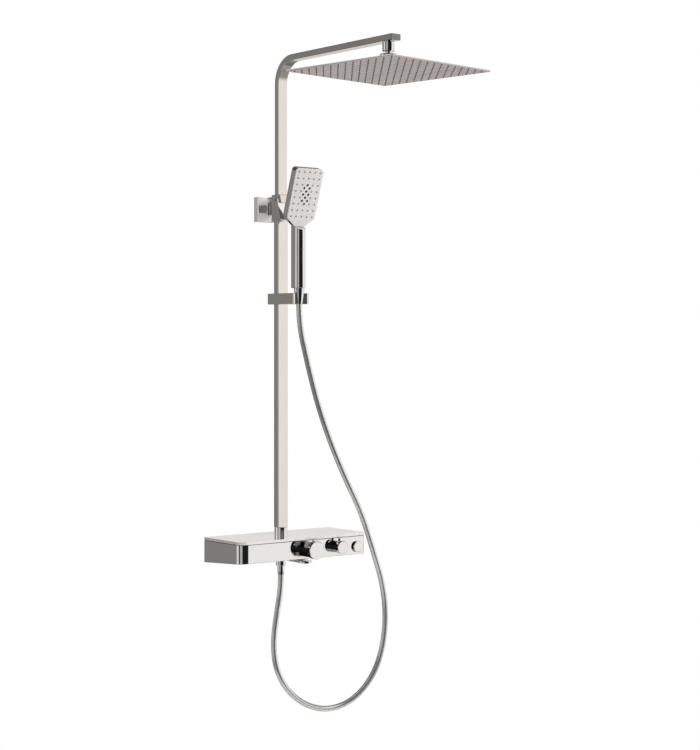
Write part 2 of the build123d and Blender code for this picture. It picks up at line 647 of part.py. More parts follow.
with BuildPart() as head_bottom_plate:
    with BuildSketch(head_axis.offset(HEAD_Z)):
        RectangleRounded(HEAD_SIDE, HEAD_SIDE, 2)
    extrude(amount=FACE_T + RIM_H)
    with BuildSketch(head_axis.offset(HEAD_Z + FACE_T)):
        RectangleRounded(HEAD_SIDE - 2 * RIM_W, HEAD_SIDE - 2 * RIM_W, 1)
    extrude(amount=RIM_H, mode=Mode.SUBTRACT)
    with BuildSketch(head_axis.offset(HEAD_Z)):
        with GridLocations(HEAD_PITCH, HEAD_PITCH, HEAD_ROWS, HEAD_ROWS):
            Circle(NOZZLE_HOLE_R)
    extrude(amount=FACE_T, mode=Mode.SUBTRACT)
head_bottom_plate.part.label = "head_bottom_plate"
export_step(head_bottom_plate.part, "parts/head_bottom_plate.step")

MAT_T, MAT_GAP = 0.6, 1.0
NOZZLE_LEN = 2.9
NOZZLE_TIP_R = 1.2

with BuildPart() as head_nozzle_mat:
    with BuildSketch(head_axis.offset(HEAD_Z + FACE_T)):
        Rectangle(HEAD_SIDE - 2 * RIM_W - MAT_GAP, HEAD_SIDE - 2 * RIM_W - MAT_GAP)
    extrude(amount=MAT_T)
    with Locations(head_axis.offset(HEAD_Z + FACE_T - NOZZLE_LEN / 2)):
        with GridLocations(HEAD_PITCH, HEAD_PITCH, HEAD_ROWS, HEAD_ROWS):
            Cone(NOZZLE_TIP_R, NOZZLE_HOLE_R - FIT, NOZZLE_LEN)
head_nozzle_mat.part.label = "head_nozzle_mat"
export_step(head_nozzle_mat.part, "parts/head_nozzle_mat.step")

with BuildPart() as head_top_plate:
    with BuildSketch(head_axis.offset(HEAD_Z + FACE_T + RIM_H)):
        RectangleRounded(HEAD_SIDE, HEAD_SIDE, 2)
    extrude(amount=TOP_T)
    with BuildSketch(head_axis.offset(PLATE_TOP)):
        Circle(26)
    extrude(amount=1.2, taper=45)
    with BuildSketch(head_axis.offset(PLATE_TOP)):
        Circle(HUB_R)
    extrude(amount=HUB_TOP - PLATE_TOP)
    with BuildSketch(head_axis.offset(BALL_Z - BALL_R - 2)):
        Circle(HUB_BORE_R)
    extrude(amount=30, mode=Mode.SUBTRACT)
    with BuildSketch(head_axis.offset(HEAD_Z)):
        Circle(STEM_BORE_R + 1.5)
    extrude(amount=30, mode=Mode.SUBTRACT)
head_top_plate.part.label = "head_top_plate"
export_step(head_top_plate.part, "parts/head_top_plate.step")

# =========================================================================================
# Hand shower
# =========================================================================================
lean = radians(PADDLE_TILT)
face_plane = Plane(
    origin=(0, ahead(PADDLE_OUT), PADDLE_Z),
    x_dir=(1, 0, 0),
    z_dir=(0, -cos(lean), -sin(lean)),
)


def paddle_outline(inset):
    """Front outline of the hand shower: a tall plate narrowing to the handle's width."""
    half = PADDLE_W / 2 - inset
    neck = HANDLE_W / 2 - 0.2 - inset
    with BuildSketch() as outline:
        with BuildLine():
            Polyline(
                (-half, PADDLE_L - inset),
                (half, PADDLE_L - inset),
                (half, 2 + inset / 2),
                (neck, inset - PADDLE_NECK),
                (-neck, inset - PADDLE_NECK),
                (-half, 2 + inset / 2),
                close=True,
            )
        make_face()
        fillet(outline.vertices().group_by(Axis.Y)[-1], 8 - inset)
        fillet(outline.vertices().group_by(Axis.Y)[1], 11 - inset)
        fillet(outline.vertices().group_by(Axis.Y)[0], 3.5)
    return outline.sketch


def handle_outline():
    """Section of the handle: flat sides and a round front."""
    with BuildSketch() as outline:
        with Locations((0, HANDLE_Y)):
            Rectangle(HANDLE_W, HANDLE_D)
        fillet(outline.vertices().group_by(Axis.Y)[0], HANDLE_W / 2 - 0.1)
        fillet(outline.vertices().group_by(Axis.Y)[-1], HANDLE_BACK_ROUND)
    return outline.sketch


NECK_CUT_H = 6.5          # height of the scoop under the face's lower end
NECK_END_Z = PADDLE_Z - PADDLE_NECK * cos(lean)
NECK_END_Y = ahead(PADDLE_OUT) + PADDLE_NECK * sin(lean)
INLET_THREAD_R = 10.2
INLET_UP, INLET_DOWN = 12.0, 11.0
HANDLE_FRONT_Y = HANDLE_Y - HANDLE_D / 2

with BuildPart() as paddle_block:
    with BuildSketch(face_plane.offset(-FACE_PLATE_T)):
        add(paddle_outline(0))
    extrude(amount=FACE_PLATE_T - PADDLE_T)
    chamfer(faces().sort_by(Axis.Y)[-1].edges(), 1.5)

with BuildPart() as handset_shell:
    with BuildSketch(Plane.XY.offset(HANDLE_FOOT)):
        add(handle_outline())
    extrude(amount=HANDLE_TOP - HANDLE_FOOT)
    # the handle's front is scooped back under the neck of the face
    with BuildSketch(Plane.YZ.offset(-HANDLE_W)):
        with BuildLine():
            Polyline(
                (HANDLE_FRONT_Y - 5, NECK_END_Z - NECK_CUT_H),
                (HANDLE_FRONT_Y, NECK_END_Z - NECK_CUT_H),
                (NECK_END_Y, NECK_END_Z),
                (NECK_END_Y - (HANDLE_TOP + 1 - NECK_END_Z) * tan(lean), HANDLE_TOP + 1),
                (HANDLE_FRONT_Y - 5, HANDLE_TOP + 1),
                close=True,
            )
        make_face()
    extrude(amount=2 * HANDLE_W, mode=Mode.SUBTRACT)
    add(paddle_block.part)
    # seat of the face, and the water chamber behind it
    with BuildSketch(face_plane.offset(-FACE_PLATE_T)):
        add(paddle_outline(-FIT))
    extrude(amount=FACE_PLATE_T + 8, mode=Mode.SUBTRACT)
    with BuildSketch(face_plane.offset(-FACE_PLATE_T)):
        add(paddle_outline(SHELL_WALL))
    extrude(amount=FACE_PLATE_T - PADDLE_T + 2.5, mode=Mode.SUBTRACT)
    # bore of the water pipe, and the threaded inlet's seat
    with BuildSketch(Plane.XY.offset(HANDLE_FOOT)):
        with Locations((0, HANDLE_Y)):
            Circle(PIPE_R + FIT)
    extrude(amount=HANDLE_TOP - HANDLE_FOOT - 12, mode=Mode.SUBTRACT)
    with BuildSketch(Plane.XY.offset(HANDLE_FOOT)):
        with Locations((0, HANDLE_Y)):
            Circle(8.1)
    extrude(amount=INLET_UP, mode=Mode.SUBTRACT)
    # pocket of the spray button
    with BuildSketch(front_plane(HANDLE_FRONT_Y)):
        with Locations((0, BUTTON_Z)):
            RectangleRounded(BUTTON_W + 2 * GAP, BUTTON_L + 2 * GAP, 1.5)
    extrude(amount=-4.2, mode=Mode.SUBTRACT)
    fillet(faces().sort_by(Axis.Z)[0].outer_wire().edges(), 0.8)
handset_shell.part.label = "handset_shell"
export_step(handset_shell.part, "parts/handset_shell.step")

with BuildPart() as mode_button:
    # its front follows the handle's round front
    with BuildSketch(Plane.XY.offset(BUTTON_Z - BUTTON_L)):
        with Locations((0, -BUTTON_PROUD)):
            add(handle_outline())
    extrude(amount=2 * BUTTON_L)
    with BuildSketch(front_plane(HANDLE_FRONT_Y + 2.2)):
        with Locations((0, BUTTON_Z)):
            RectangleRounded(BUTTON_W, BUTTON_L, 1.3)
    extrude(amount=5, mode=Mode.INTERSECT)
mode_button.part.label = "mode_button"
export_step(mode_button.part, "parts/mode_button.step")

mode_spring = coil(2.2, 0.2, 1.4, 2.5, Plane(
    origin=(0, HANDLE_FRONT_Y + 3.9, BUTTON_Z), x_dir=(1, 0, 0), z_dir=(0, -1, 0)))
mode_spring.label = "mode_spring"
export_step(mode_spring, "parts/mode_spring.step")


def spray_grid():
    """Places of the spray nozzles on the face: plain ones, then the middle chain."""
    plain, chain = [], []
    top = PADDLE_L - 7.5
    for row in range(8):
        for column in range(5):
            middle = column == 2 and 2 <= row <= 5
            place = ((column - 2) * SPRAY_PITCH, top - row * SPRAY_PITCH)
            (chain if middle else plain).append(place)
    for row in range(2, 5):
        for side in (-0.5, 0.5):
            chain.append((side * SPRAY_PITCH, top - (row + 0.5) * SPRAY_PITCH))
    return plain, chain


PLAIN_SPRAY, CHAIN_SPRAY = spray_grid()
SPRAY_R, CHAIN_R = 1.8, 2.5
SPRAY_OUT = 0.9

with BuildPart() as handset_face:
    with BuildSketch(face_plane.offset(-FACE_PLATE_T)):
        add(paddle_outline(0))
    extrude(amount=FACE_PLATE_T)
    fillet(faces().filter_by(face_plane).sort_by(Axis.Y)[0].edges(), 0.9)
    with BuildSketch(face_plane.offset(-FACE_PLATE_T)):
        with Locations(PLAIN_SPRAY):
            Circle(SPRAY_R)
        with Locations(CHAIN_SPRAY):
            Circle(CHAIN_R)
    extrude(amount=FACE_PLATE_T, mode=Mode.SUBTRACT)
handset_face.part.label = "handset_face"
export_step(handset_face.part, "parts/handset_face.step")

with BuildPart() as spray_mat:
    with BuildSketch(face_plane.offset(-FACE_PLATE_T - 1.2)):
        add(paddle_outline(SHELL_WALL + GAP))
    extrude(amount=1.2)
    with BuildSketch(face_plane.offset(-FACE_PLATE_T)):
        with Locations(PLAIN_SPRAY):
            Circle(SPRAY_R - FIT)
        with Locations(CHAIN_SPRAY):
            Circle(CHAIN_R - FIT)
    extrude(amount=FACE_PLATE_T + SPRAY_OUT)
spray_mat.part.label = "spray_mat"
export_step(spray_mat.part, "parts/spray_mat.step")

with BuildPart() as inner_pipe:
    with BuildSketch(Plane.XY.offset(HANDLE_FOOT + INLET_UP + FIT)):
        with Locations((0, HANDLE_Y)):
            Circle(PIPE_R)
            Circle(PIPE_BORE_R, mode=Mode.SUBTRACT)
    extrude(amount=HANDLE_TOP - HANDLE_FOOT - INLET_UP - 14)
inner_pipe.part.label = "inner_pipe"
export_step(inner_pipe.part, "parts/inner_pipe.step")

with BuildPart() as handle_inlet:
    with BuildSketch(Plane.XY.offset(HANDLE_FOOT)):
        with Locations((0, HANDLE_Y)):
            Circle(8.0)
    extrude(amount=INLET_UP)
    with BuildSketch(Plane.XY.offset(HANDLE_FOOT - INLET_DOWN)):
        with Locations((0, HANDLE_Y)):
            Circle(INLET_THREAD_R - 0.9)
    extrude(amount=INLET_DOWN)
    for turn in range(5):
        with BuildSketch(Plane.XY.offset(HANDLE_FOOT - INLET_DOWN + 1 + 1.8 * turn)):
            with Locations((0, HANDLE_Y)):
                Circle(INLET_THREAD_R)
        extrude(amount=0.9)
    with BuildSketch(Plane.XY.offset(HANDLE_FOOT - INLET_DOWN)):
        with Locations((0, HANDLE_Y)):
            Circle(PIPE_R)
    extrude(amount=INLET_DOWN + INLET_UP, mode=Mode.SUBTRACT)
handle_inlet.part.label = "handle_inlet"
export_step(handle_inlet.part, "parts/handle_inlet.step")

# =========================================================================================
# Holder and hose
# =========================================================================================
CONE_TOP = HANDLE_FOOT - NUT_GAP
CONE_FOOT = CONE_TOP - CONE_H
cone_section = Plane(origin=(0, HANDLE_Y, 0), x_dir=(1, 0, 0), z_dir=(0, -1, 0))
handle_axis = Axis((0, HANDLE_Y, 0), (0, 0, 1))


def cone_r(z):
    """Radius of the conical hose nut at a height."""
    return CONE_FOOT_R + (CONE_TOP_R - CONE_FOOT_R) * (z - CONE_FOOT) / CONE_H


with BuildPart() as hose_cone_nut:
    with BuildSketch(cone_section):
        with BuildLine():
            Polyline(
                (INLET_THREAD_R + FIT, CONE_TOP),
                (CONE_TOP_R, CONE_TOP),
                (CONE_FOOT_R, CONE_FOOT),
                (5.0, CONE_FOOT),
                (5.0, CONE_TOP - INLET_DOWN - 1),
                (INLET_THREAD_R + FIT, CONE_TOP - INLET_DOWN - 1),
                close=True,
            )
        make_face()
    revolve(axis=handle_axis)
    fillet(faces().sort_by(Axis.Z)[-1].outer_wire().edges(), 0.5)
hose_cone_nut.part.label = "hose_cone_nut"
export_step(hose_cone_nut.part, "parts/hose_cone_nut.step")

HOLDER_FOOT = HOLDER_Z - HOLDER_H / 2
HOLDER_MID_Y = ahead((HOLDER_FRONT - HOLDER_BACK) / 2)
HOLDER_L = HOLDER_BACK + HOLDER_FRONT
HOLDER_PAD_T = 2.8

with BuildPart() as holder_body:
    with BuildSketch(Plane.XY.offset(HOLDER_FOOT)):
        with Locations((0, HOLDER_MID_Y)):
            RectangleRounded(HOLDER_W, HOLDER_L, 1.2)
    extrude(amount=HOLDER_H)
    chamfer(faces().filter_by(Axis.Z).edges(), 0.5)
    with BuildSketch(Plane.XY.offset(HOLDER_FOOT)):
        with Locations((0, TUBE_Y)):
            RectangleRounded(LOWER_W + 2 * GAP, LOWER_D + 2 * GAP, TUBE_ROUND)
        with Locations((0, ahead((FORK_BACK + HOLDER_FRONT + 2) / 2))):
            Rectangle(FORK_W, HOLDER_FRONT + 2 - FORK_BACK)
    extrude(amount=HOLDER_H, mode=Mode.SUBTRACT)
    # pocket of the friction pad, and the hole of its screw
    with BuildSketch(front_plane(ahead(-LOWER_D / 2 - GAP - HOLDER_PAD_T))):
        with Locations((0, HOLDER_Z)):
            Rectangle(16, 16)
    extrude(amount=HOLDER_PAD_T + 1, mode=Mode.SUBTRACT)
    with BuildSketch(front_plane(ahead(-HOLDER_BACK))):
        with Locations((0, HOLDER_Z)):
            Circle(SCREW_R + FIT)
    extrude(amount=HOLDER_BACK - LOWER_D / 2, mode=Mode.SUBTRACT)
holder_body.part.label = "holder_body"
export_step(holder_body.part, "parts/holder_body.step")

with BuildPart() as holder_insert:
    with BuildSketch(Plane.XY.offset(HOLDER_FOOT + 0.6)):
        with Locations((0, ahead((FORK_BACK + HOLDER_FRONT - 1.5) / 2))):
            Rectangle(FORK_W, HOLDER_FRONT - 1.5 - FORK_BACK)
    extrude(amount=HOLDER_H - 1.2)
    with BuildSketch(cone_section):
        with BuildLine():
            Polyline(
                (0, HOLDER_FOOT - 2),
                (cone_r(HOLDER_FOOT - 2) + GAP, HOLDER_FOOT - 2),
                (cone_r(HOLDER_FOOT + HOLDER_H + 2) + GAP, HOLDER_FOOT + HOLDER_H + 2),
                (0, HOLDER_FOOT + HOLDER_H + 2),
                close=True,
            )
        make_face()
    revolve(axis=handle_axis, mode=Mode.SUBTRACT)
holder_insert.part.label = "holder_insert"
export_step(holder_insert.part, "parts/holder_insert.step")

with BuildPart() as holder_pad:
    with BuildSketch(front_plane(ahead(-LOWER_D / 2 - GAP - HOLDER_PAD_T))):
        with Locations((0, HOLDER_Z)):
            Rectangle(15.8, 15.8)
    extrude(amount=HOLDER_PAD_T + GAP - FIT)
holder_pad.part.label = "holder_pad"
export_step(holder_pad.part, "parts/holder_pad.step")

with BuildPart() as holder_screw:
    with BuildSketch(front_plane(ahead(-HOLDER_BACK + 0.6))):
        with Locations((0, HOLDER_Z)):
            Circle(SCREW_R)
    extrude(amount=HOLDER_BACK - 0.6 - LOWER_D / 2 - GAP - HOLDER_PAD_T)
    with BuildSketch(front_plane(ahead(-HOLDER_BACK + 0.6))):
        with Locations((0, HOLDER_Z)):
            RegularPolygon(1.7, 6)
    extrude(amount=2.5, mode=Mode.SUBTRACT)
holder_screw.part.label = "holder_screw"
export_step(holder_screw.part, "parts/holder_screw.step")

# =========================================================================================
# Mixer
# =========================================================================================
def shelf_outline(inset):
    """Plan of the mixer: large round corners in front, small ones at the wall."""
    with BuildSketch() as outline:
        with Locations((0, CASE_MID_Y)):
            Rectangle(MIXER_W - 2 * inset, MIXER_D - 2 * inset)
        fillet(outline.vertices().group_by(Axis.Y)[0], FRONT_ROUND - inset)
        fillet(outline.vertices().group_by(Axis.Y)[-1], BACK_ROUND - inset)
    return outline.sketch


def casing_block(inset, lift):
    """Solid of the mixer's plan between its sloping underside and its top."""
    with BuildPart() as block:
        with BuildSketch(Plane.XY.offset(CASE_FOOT_BACK - 5)):
            add(shelf_outline(inset))
        extrude(amount=CASE_H + 5)
        with BuildSketch(Plane.YZ.offset(-MIXER_W)):
            with BuildLine():
                Polyline(
                    (CASE_BACK_Y + 10, case_foot(CASE_BACK_Y + 10) + lift),
                    (CASE_FRONT_Y - 10, case_foot(CASE_FRONT_Y - 10) + lift),
                    (CASE_FRONT_Y - 10, CASE_FOOT_BACK - 20),
                    (CASE_BACK_Y + 10, CASE_FOOT_BACK - 20),
                    close=True,
                )
            make_face()
        extrude(amount=2 * MIXER_W, mode=Mode.SUBTRACT)
    return block.part


MANIFOLD_T = 27.0
MANIFOLD_FOOT = CONTROL_Z - MANIFOLD_T / 2
MANIFOLD_TOP = MANIFOLD_FOOT + MANIFOLD_T
MANIFOLD_LEFT, MANIFOLD_RIGHT = -98.0, 158.0
MANIFOLD_BACK_Y, MANIFOLD_FRONT_Y = ahead(-26), ahead(36)
VALVE_BACK_Y = ahead(12)  # rear end of the valve bores
VALVE_FRONT_Y = CASE_FRONT_Y + 25.5   # front end of the valve bosses
POST_XS = (MANIFOLD_LEFT + 6, (DIVERTER_X + PUSH_X) / 2)
POSTS = [(x, y) for x in POST_XS for y in (ahead(-14), ahead(26))]
POST_R, POST_SCREW_R, POST_HEAD_R, POST_HEAD_H = 5.5, 2.0, 3.8, 2.6
SPOUT_ROOT_Y = CASE_FRONT_Y + 59.5
SPOUT_NECK = (SPOUT_X, SPOUT_ROOT_Y - 8)
SPOUT_NECK_R = 4.5
NIPPLE_R = 9.6
THERMOSTAT_R, DIVERTER_VALVE_R, PUSH_VALVE_R = 12.0, 10.0, 10.0
VALVE_WALL = 2.5          # manifold wall round each valve
CONTROLS = [                                        # place and valve radius
    (KNOB_X, CONTROL_Z, THERMOSTAT_R),
    (DIVERTER_X, CONTROL_Z, DIVERTER_VALVE_R),
    (PUSH_X, PUSH_Z, PUSH_VALVE_R),
]
INLETS = [-INLET_PITCH / 2, INLET_PITCH / 2]

with BuildPart() as casing_hollow:
    add(casing_block(CASE_WALL, CASE_WALL))
    with BuildSketch(Plane.XY.offset(CASE_FOOT_BACK - 5)):
        with Locations(POSTS):
            Circle(POST_R)
    extrude(amount=MANIFOLD_FOOT - CASE_FOOT_BACK + 5, mode=Mode.SUBTRACT)

with BuildPart() as mixer_casing:
    add(casing_block(0, 0))
    fillet(edges().filter_by(Axis.X).group_by(Axis.Z)[0:2][-1].sort_by(Axis.Y)[0], 1.0)
    add(casing_hollow.part, mode=Mode.SUBTRACT)
    with BuildSketch(front_plane(CASE_FRONT_Y + CASE_WALL + 1)):
        with Locations((KNOB_X, CONTROL_Z)):
            Circle(13)
        with Locations((DIVERTER_X, CONTROL_Z)):
            Circle(9)
        with Locations((PUSH_X, PUSH_Z)):
            Circle(PUSH_R + GAP)
    extrude(amount=CASE_WALL + 2, mode=Mode.SUBTRACT)
    with BuildSketch(front_plane(CASE_BACK_Y + 1)):
        with Locations([(x, 0) for x in INLETS]):
            Circle(INLET_R + GAP)
    extrude(amount=CASE_WALL + 2, mode=Mode.SUBTRACT)
    with BuildSketch(Plane.XY.offset(CASE_FOOT_BACK - 1)):
        with Locations((0, TUBE_Y)):
            Circle(NIPPLE_R + GAP)
        with Locations(SPOUT_NECK):
            Circle(SPOUT_NECK_R + GAP)
        with Locations(POSTS):
            Circle(POST_SCREW_R + FIT)
    extrude(amount=MANIFOLD_FOOT - CASE_FOOT_BACK + 2, mode=Mode.SUBTRACT)
    for x, y in POSTS:
        with BuildSketch(Plane.XY.offset(CASE_FOOT_BACK - 1)):
            with Locations((x, y)):
                Circle(POST_HEAD_R + FIT)
        extrude(amount=case_foot(y) + POST_HEAD_H + 1 - CASE_FOOT_BACK + 1, mode=Mode.SUBTRACT)
mixer_casing.part.label = "mixer_casing"
export_step(mixer_casing.part, "parts/mixer_casing.step")

with BuildPart() as manifold_screws:
    for x, y in POSTS:
        head = case_foot(y) + 1.0
        with BuildSketch(Plane.XY.offset(head)):
            with Locations((x, y)):
                Circle(POST_HEAD_R)
                RegularPolygon(1.7, 6, mode=Mode.SUBTRACT)
        extrude(amount=POST_HEAD_H)
        with BuildSketch(Plane.XY.offset(head + POST_HEAD_H)):
            with Locations((x, y)):
                Circle(POST_SCREW_R)
        extrude(amount=MANIFOLD_FOOT + 8 - head - POST_HEAD_H)
manifold_screws.part.label = "manifold_screws"
export_step(manifold_screws.part, "parts/manifold_screws.step")

INLET_BOSS_Y = CASE_BACK_Y - CASE_WALL - 2.0
NOSE_R, NOSE_END_Y = 7.5, -40.0
CHECK_END_Y = -56.0
SOCKET_DEPTH = 6.0

with BuildPart() as manifold:
    with BuildSketch(Plane.XY.offset(MANIFOLD_FOOT)):
        with BuildLine():
            Polyline(
                (MANIFOLD_LEFT, MANIFOLD_BACK_Y),
                (MANIFOLD_RIGHT, MANIFOLD_BACK_Y),
                (MANIFOLD_RIGHT, MANIFOLD_FRONT_Y),
                (MANIFOLD_LEFT, MANIFOLD_FRONT_Y),
                close=True,
            )
        make_face()
    extrude(amount=MANIFOLD_T)
    chamfer(edges().filter_by(Axis.Z), 4)
    with BuildSketch(front_plane(MANIFOLD_FRONT_Y)):
        for x, z, r in CONTROLS:
            with Locations((x, z)):
                Circle(r + VALVE_WALL)
    extrude(amount=MANIFOLD_FRONT_Y - VALVE_FRONT_Y)
    with BuildSketch(front_plane(INLET_BOSS_Y)):
        with Locations([(x, 0) for x in INLETS]):
            Circle(11)
    extrude(amount=INLET_BOSS_Y - MANIFOLD_BACK_Y + 1)
    # lug above the spout's neck
    with BuildSketch(Plane.XY.offset(MANIFOLD_FOOT)):
        with Locations(SPOUT_NECK):
            Rectangle(14, 2 * (MANIFOLD_FRONT_Y - SPOUT_NECK[1]) + 4)
    extrude(amount=12)
    for x, z, r in CONTROLS:
        with BuildSketch(front_plane(VALVE_BACK_Y)):
            with Locations((x, z)):
                Circle(r + FIT)
        extrude(amount=VALVE_BACK_Y - VALVE_FRONT_Y, mode=Mode.SUBTRACT)
    with BuildSketch(front_plane(INLET_BOSS_Y)):
        with Locations([(x, 0) for x in INLETS]):
            Circle(NOSE_R + FIT)
    extrude(amount=INLET_BOSS_Y - CHECK_END_Y, mode=Mode.SUBTRACT)
    with BuildSketch(Plane.XY.offset(SHANK_FOOT)):
        with Locations((0, TUBE_Y)):
            RectangleRounded(SHANK_W + 2 * FIT, SHANK_D + 2 * FIT, 2)
    extrude(amount=MANIFOLD_TOP - SHANK_FOOT, mode=Mode.SUBTRACT)
    with BuildSketch(Plane.XY.offset(MANIFOLD_FOOT)):
        with Locations((0, TUBE_Y)):
            Circle(NIPPLE_R - 1.5 + FIT)
        with Locations(SPOUT_NECK):
            Circle(SPOUT_NECK_R + FIT)
    extrude(amount=SOCKET_DEPTH - 1, mode=Mode.SUBTRACT)
    with BuildSketch(Plane.XY.offset(MANIFOLD_FOOT)):
        with Locations(POSTS):
            Circle(POST_SCREW_R + FIT)
    extrude(amount=9, mode=Mode.SUBTRACT)
manifold.part.label = "manifold"
export_step(manifold.part, "parts/manifold.step")

with BuildPart() as glass_shelf:
    with BuildSketch(Plane.XY.offset(GLASS_FOOT)):
        add(shelf_outline(0))
        with Locations((0, TUBE_Y)):
            RectangleRounded(SHANK_W + 1.6, SHANK_D + 1.6, 2.5, mode=Mode.SUBTRACT)
    extrude(amount=GLASS_T)
    chamfer(faces().sort_by(Axis.Z)[-1].outer_wire().edges(), 0.7)
    chamfer(faces().sort_by(Axis.Z)[0].outer_wire().edges(), 0.7)
glass_shelf.part.label = "glass_shelf"
export_step(glass_shelf.part, "parts/glass_shelf.step")

with BuildPart() as shelf_gasket:
    with BuildSketch(Plane.XY.offset(CASE_TOP)):
        add(shelf_outline(GASKET_IN))
        add(shelf_outline(GASKET_IN + 5), mode=Mode.SUBTRACT)
    extrude(amount=GLASS_GAP)
shelf_gasket.part.label = "shelf_gasket"
export_step(shelf_gasket.part, "parts/shelf_gasket.step")

with BuildPart() as inlet_unions:
    for x in INLETS:
        with BuildSketch(front_plane(0)):
            with Locations((x, 0)):
                Circle(INLET_R)
        extrude(amount=-INLET_BOSS_Y)
        with BuildSketch(front_plane(INLET_BOSS_Y)):
            with Locations((x, 0)):
                Circle(NOSE_R)
        extrude(amount=INLET_BOSS_Y - NOSE_END_Y)
        with BuildSketch(front_plane(0)):
            with Locations((x, 0)):
                Circle(INLET_BORE_R)
        extrude(amount=INLET_BORE_L, mode=Mode.SUBTRACT)
        with BuildSketch(front_plane(0)):
            with Locations((x, 0)):
                Circle(NOSE_R - 2.5)
        extrude(amount=-NOSE_END_Y, mode=Mode.SUBTRACT)
inlet_unions.part.label = "inlet_unions"
export_step(inlet_unions.part, "parts/inlet_unions.step")

ROSETTE_R, ROSETTE_D = 22.0, 10.5

with BuildPart() as rosettes:
    for x in INLETS:
        with BuildSketch(Plane(origin=(x, 0, 0), x_dir=(1, 0, 0), z_dir=(0, 0, 1))):
            with BuildLine():
                Polyline(
                    (INLET_R + GAP, 0),
                    (ROSETTE_R, 0),
                    (ROSETTE_R, 4 - ROSETTE_D),
                    (ROSETTE_R - 3, -ROSETTE_D),
                    (INLET_R + GAP, -ROSETTE_D),
                    close=True,
                )
            make_face()
        revolve(axis=Axis((x, 0, 0), (0, 1, 0)))
rosettes.part.label = "rosettes"
export_step(rosettes.part, "parts/rosettes.step")

with BuildPart() as check_valves:
    for x in INLETS:
        with BuildSketch(front_plane(NOSE_END_Y - GAP)):
            with Locations((x, 0)):
                Circle(NOSE_R)
                Circle(3, mode=Mode.SUBTRACT)
        extrude(amount=NOSE_END_Y - GAP - CHECK_END_Y)
check_valves.part.label = "check_valves"
export_step(check_valves.part, "parts/check_valves.step")

# ---- controls -----------------------------------------------------------------------------
KNOB_GAP = 1.0
KNOB_REAR_Y = CASE_FRONT_Y - KNOB_GAP
STEM_FIT = 0.08
KNOB_WALL = 2.6
KNOB_STEM_R, DIVERTER_STEM_R = 6.0, 4.0
STEM_REST = 6.0           # a knob's front stands this far ahead of its stem
HUB_WALL = 2.3


FIN_BACK, FIN_L = 7.0, 7.5   # rear end of a rib behind its disc, and its length


def control_plane(x):
    """Half-section plane through a control's axis: local x is the radius, local y is Y."""
    return Plane(origin=(x, 0, CONTROL_Z), x_dir=(1, 0, 0), z_dir=(0, 0, 1))


def control_axis(x):
    return Axis((x, 0, CONTROL_Z), (0, 1, 0))


def knob_profile(r, cap_r, front, stem_r):
    """Half-section of a knob: hollow body on a hub, with a wider disc at its front end."""
    shoulder = front + CAP_H
    bore_end = front + STEM_REST - 1
    return [
        (r, KNOB_REAR_Y),
        (r, shoulder),
        (cap_r, shoulder),
        (cap_r, front + 1.2),
        (cap_r - 1.2, front),
        (0, front),
        (0, bore_end),
        (stem_r + STEM_FIT, bore_end),
        (stem_r + STEM_FIT, KNOB_REAR_Y),
        (stem_r + HUB_WALL, KNOB_REAR_Y),
        (stem_r + HUB_WALL, shoulder + 1),
        (r - KNOB_WALL, shoulder + 1),
        (r - KNOB_WALL, KNOB_REAR_Y),
    ]


def valve_profile(r, neck_r, stem_r, front):
    """Half-section of a cartridge: body in the manifold, neck, and stem in the knob."""
    return [
        (0, VALVE_BACK_Y - GAP),
        (r, VALVE_BACK_Y - GAP),
        (r, VALVE_FRONT_Y - 6),
        (neck_r, VALVE_FRONT_Y - 6),
        (neck_r, KNOB_REAR_Y + KNOB_GAP),
        (stem_r, KNOB_REAR_Y + KNOB_GAP),
        (stem_r, front + STEM_REST),
        (0, front + STEM_REST),
    ]


def fin(x, r, front, height):
    """Raised rib on top of a knob, behind its disc."""
    with BuildPart() as rib:
        with BuildSketch(front_plane(front + CAP_H + FIN_BACK)):
            with Locations((x, CONTROL_Z + r + height / 2 - 0.5)):
                RectangleRounded(2.6, height + 1, 0.8)
        extrude(amount=FIN_L)
    return rib.part


KNOB_FRONT_Y = CASE_FRONT_Y - KNOB_L
SAFETY_R, SAFETY_OUT, SAFETY_IN = 7.6, 1.4, 11.6
SAFETY_Y = KNOB_FRONT_Y + CAP_H + SAFETY_R + 2.0
SAFETY_LIFT = 42.0
safety_plane = Plane(
    origin=(KNOB_X, SAFETY_Y, CONTROL_Z),
    x_dir=(0, 1, 0),
    z_dir=(-cos(radians(SAFETY_LIFT)), 0, sin(radians(SAFETY_LIFT))),
)

with BuildPart() as temperature_knob:
    with BuildSketch(control_plane(KNOB_X)):
        with BuildLine():
            Polyline(*knob_profile(KNOB_R, KNOB_CAP_R, KNOB_FRONT_Y, KNOB_STEM_R), close=True)
        make_face()
    revolve(axis=control_axis(KNOB_X))
    add(fin(KNOB_X, KNOB_R, KNOB_FRONT_Y, 3.4))
    with BuildSketch(safety_plane.offset(KNOB_STEM_R + HUB_WALL + 0.6)):
        Circle(SAFETY_R + GAP)
    extrude(amount=KNOB_R, mode=Mode.SUBTRACT)
temperature_knob.part.label = "temperature_knob"
export_step(temperature_knob.part, "parts/temperature_knob.step")

with BuildPart() as safety_button:
    with BuildSketch(safety_plane.offset(SAFETY_IN)):
        Circle(SAFETY_R)
    extrude(amount=KNOB_R + SAFETY_OUT - SAFETY_IN)
    fillet(faces().sort_by(Axis.X)[0].edges(), 0.8)
safety_button.part.label = "safety_button"
export_step(safety_button.part, "parts/safety_button.step")

safety_spring = coil(3.0, 0.3, 1.9, 2.5, safety_plane.offset(KNOB_STEM_R + HUB_WALL + 0.9))
safety_spring.label = "safety_spring"
export_step(safety_spring, "parts/safety_spring.step")

DIVERTER_FRONT_Y = CASE_FRONT_Y - DIVERTER_L

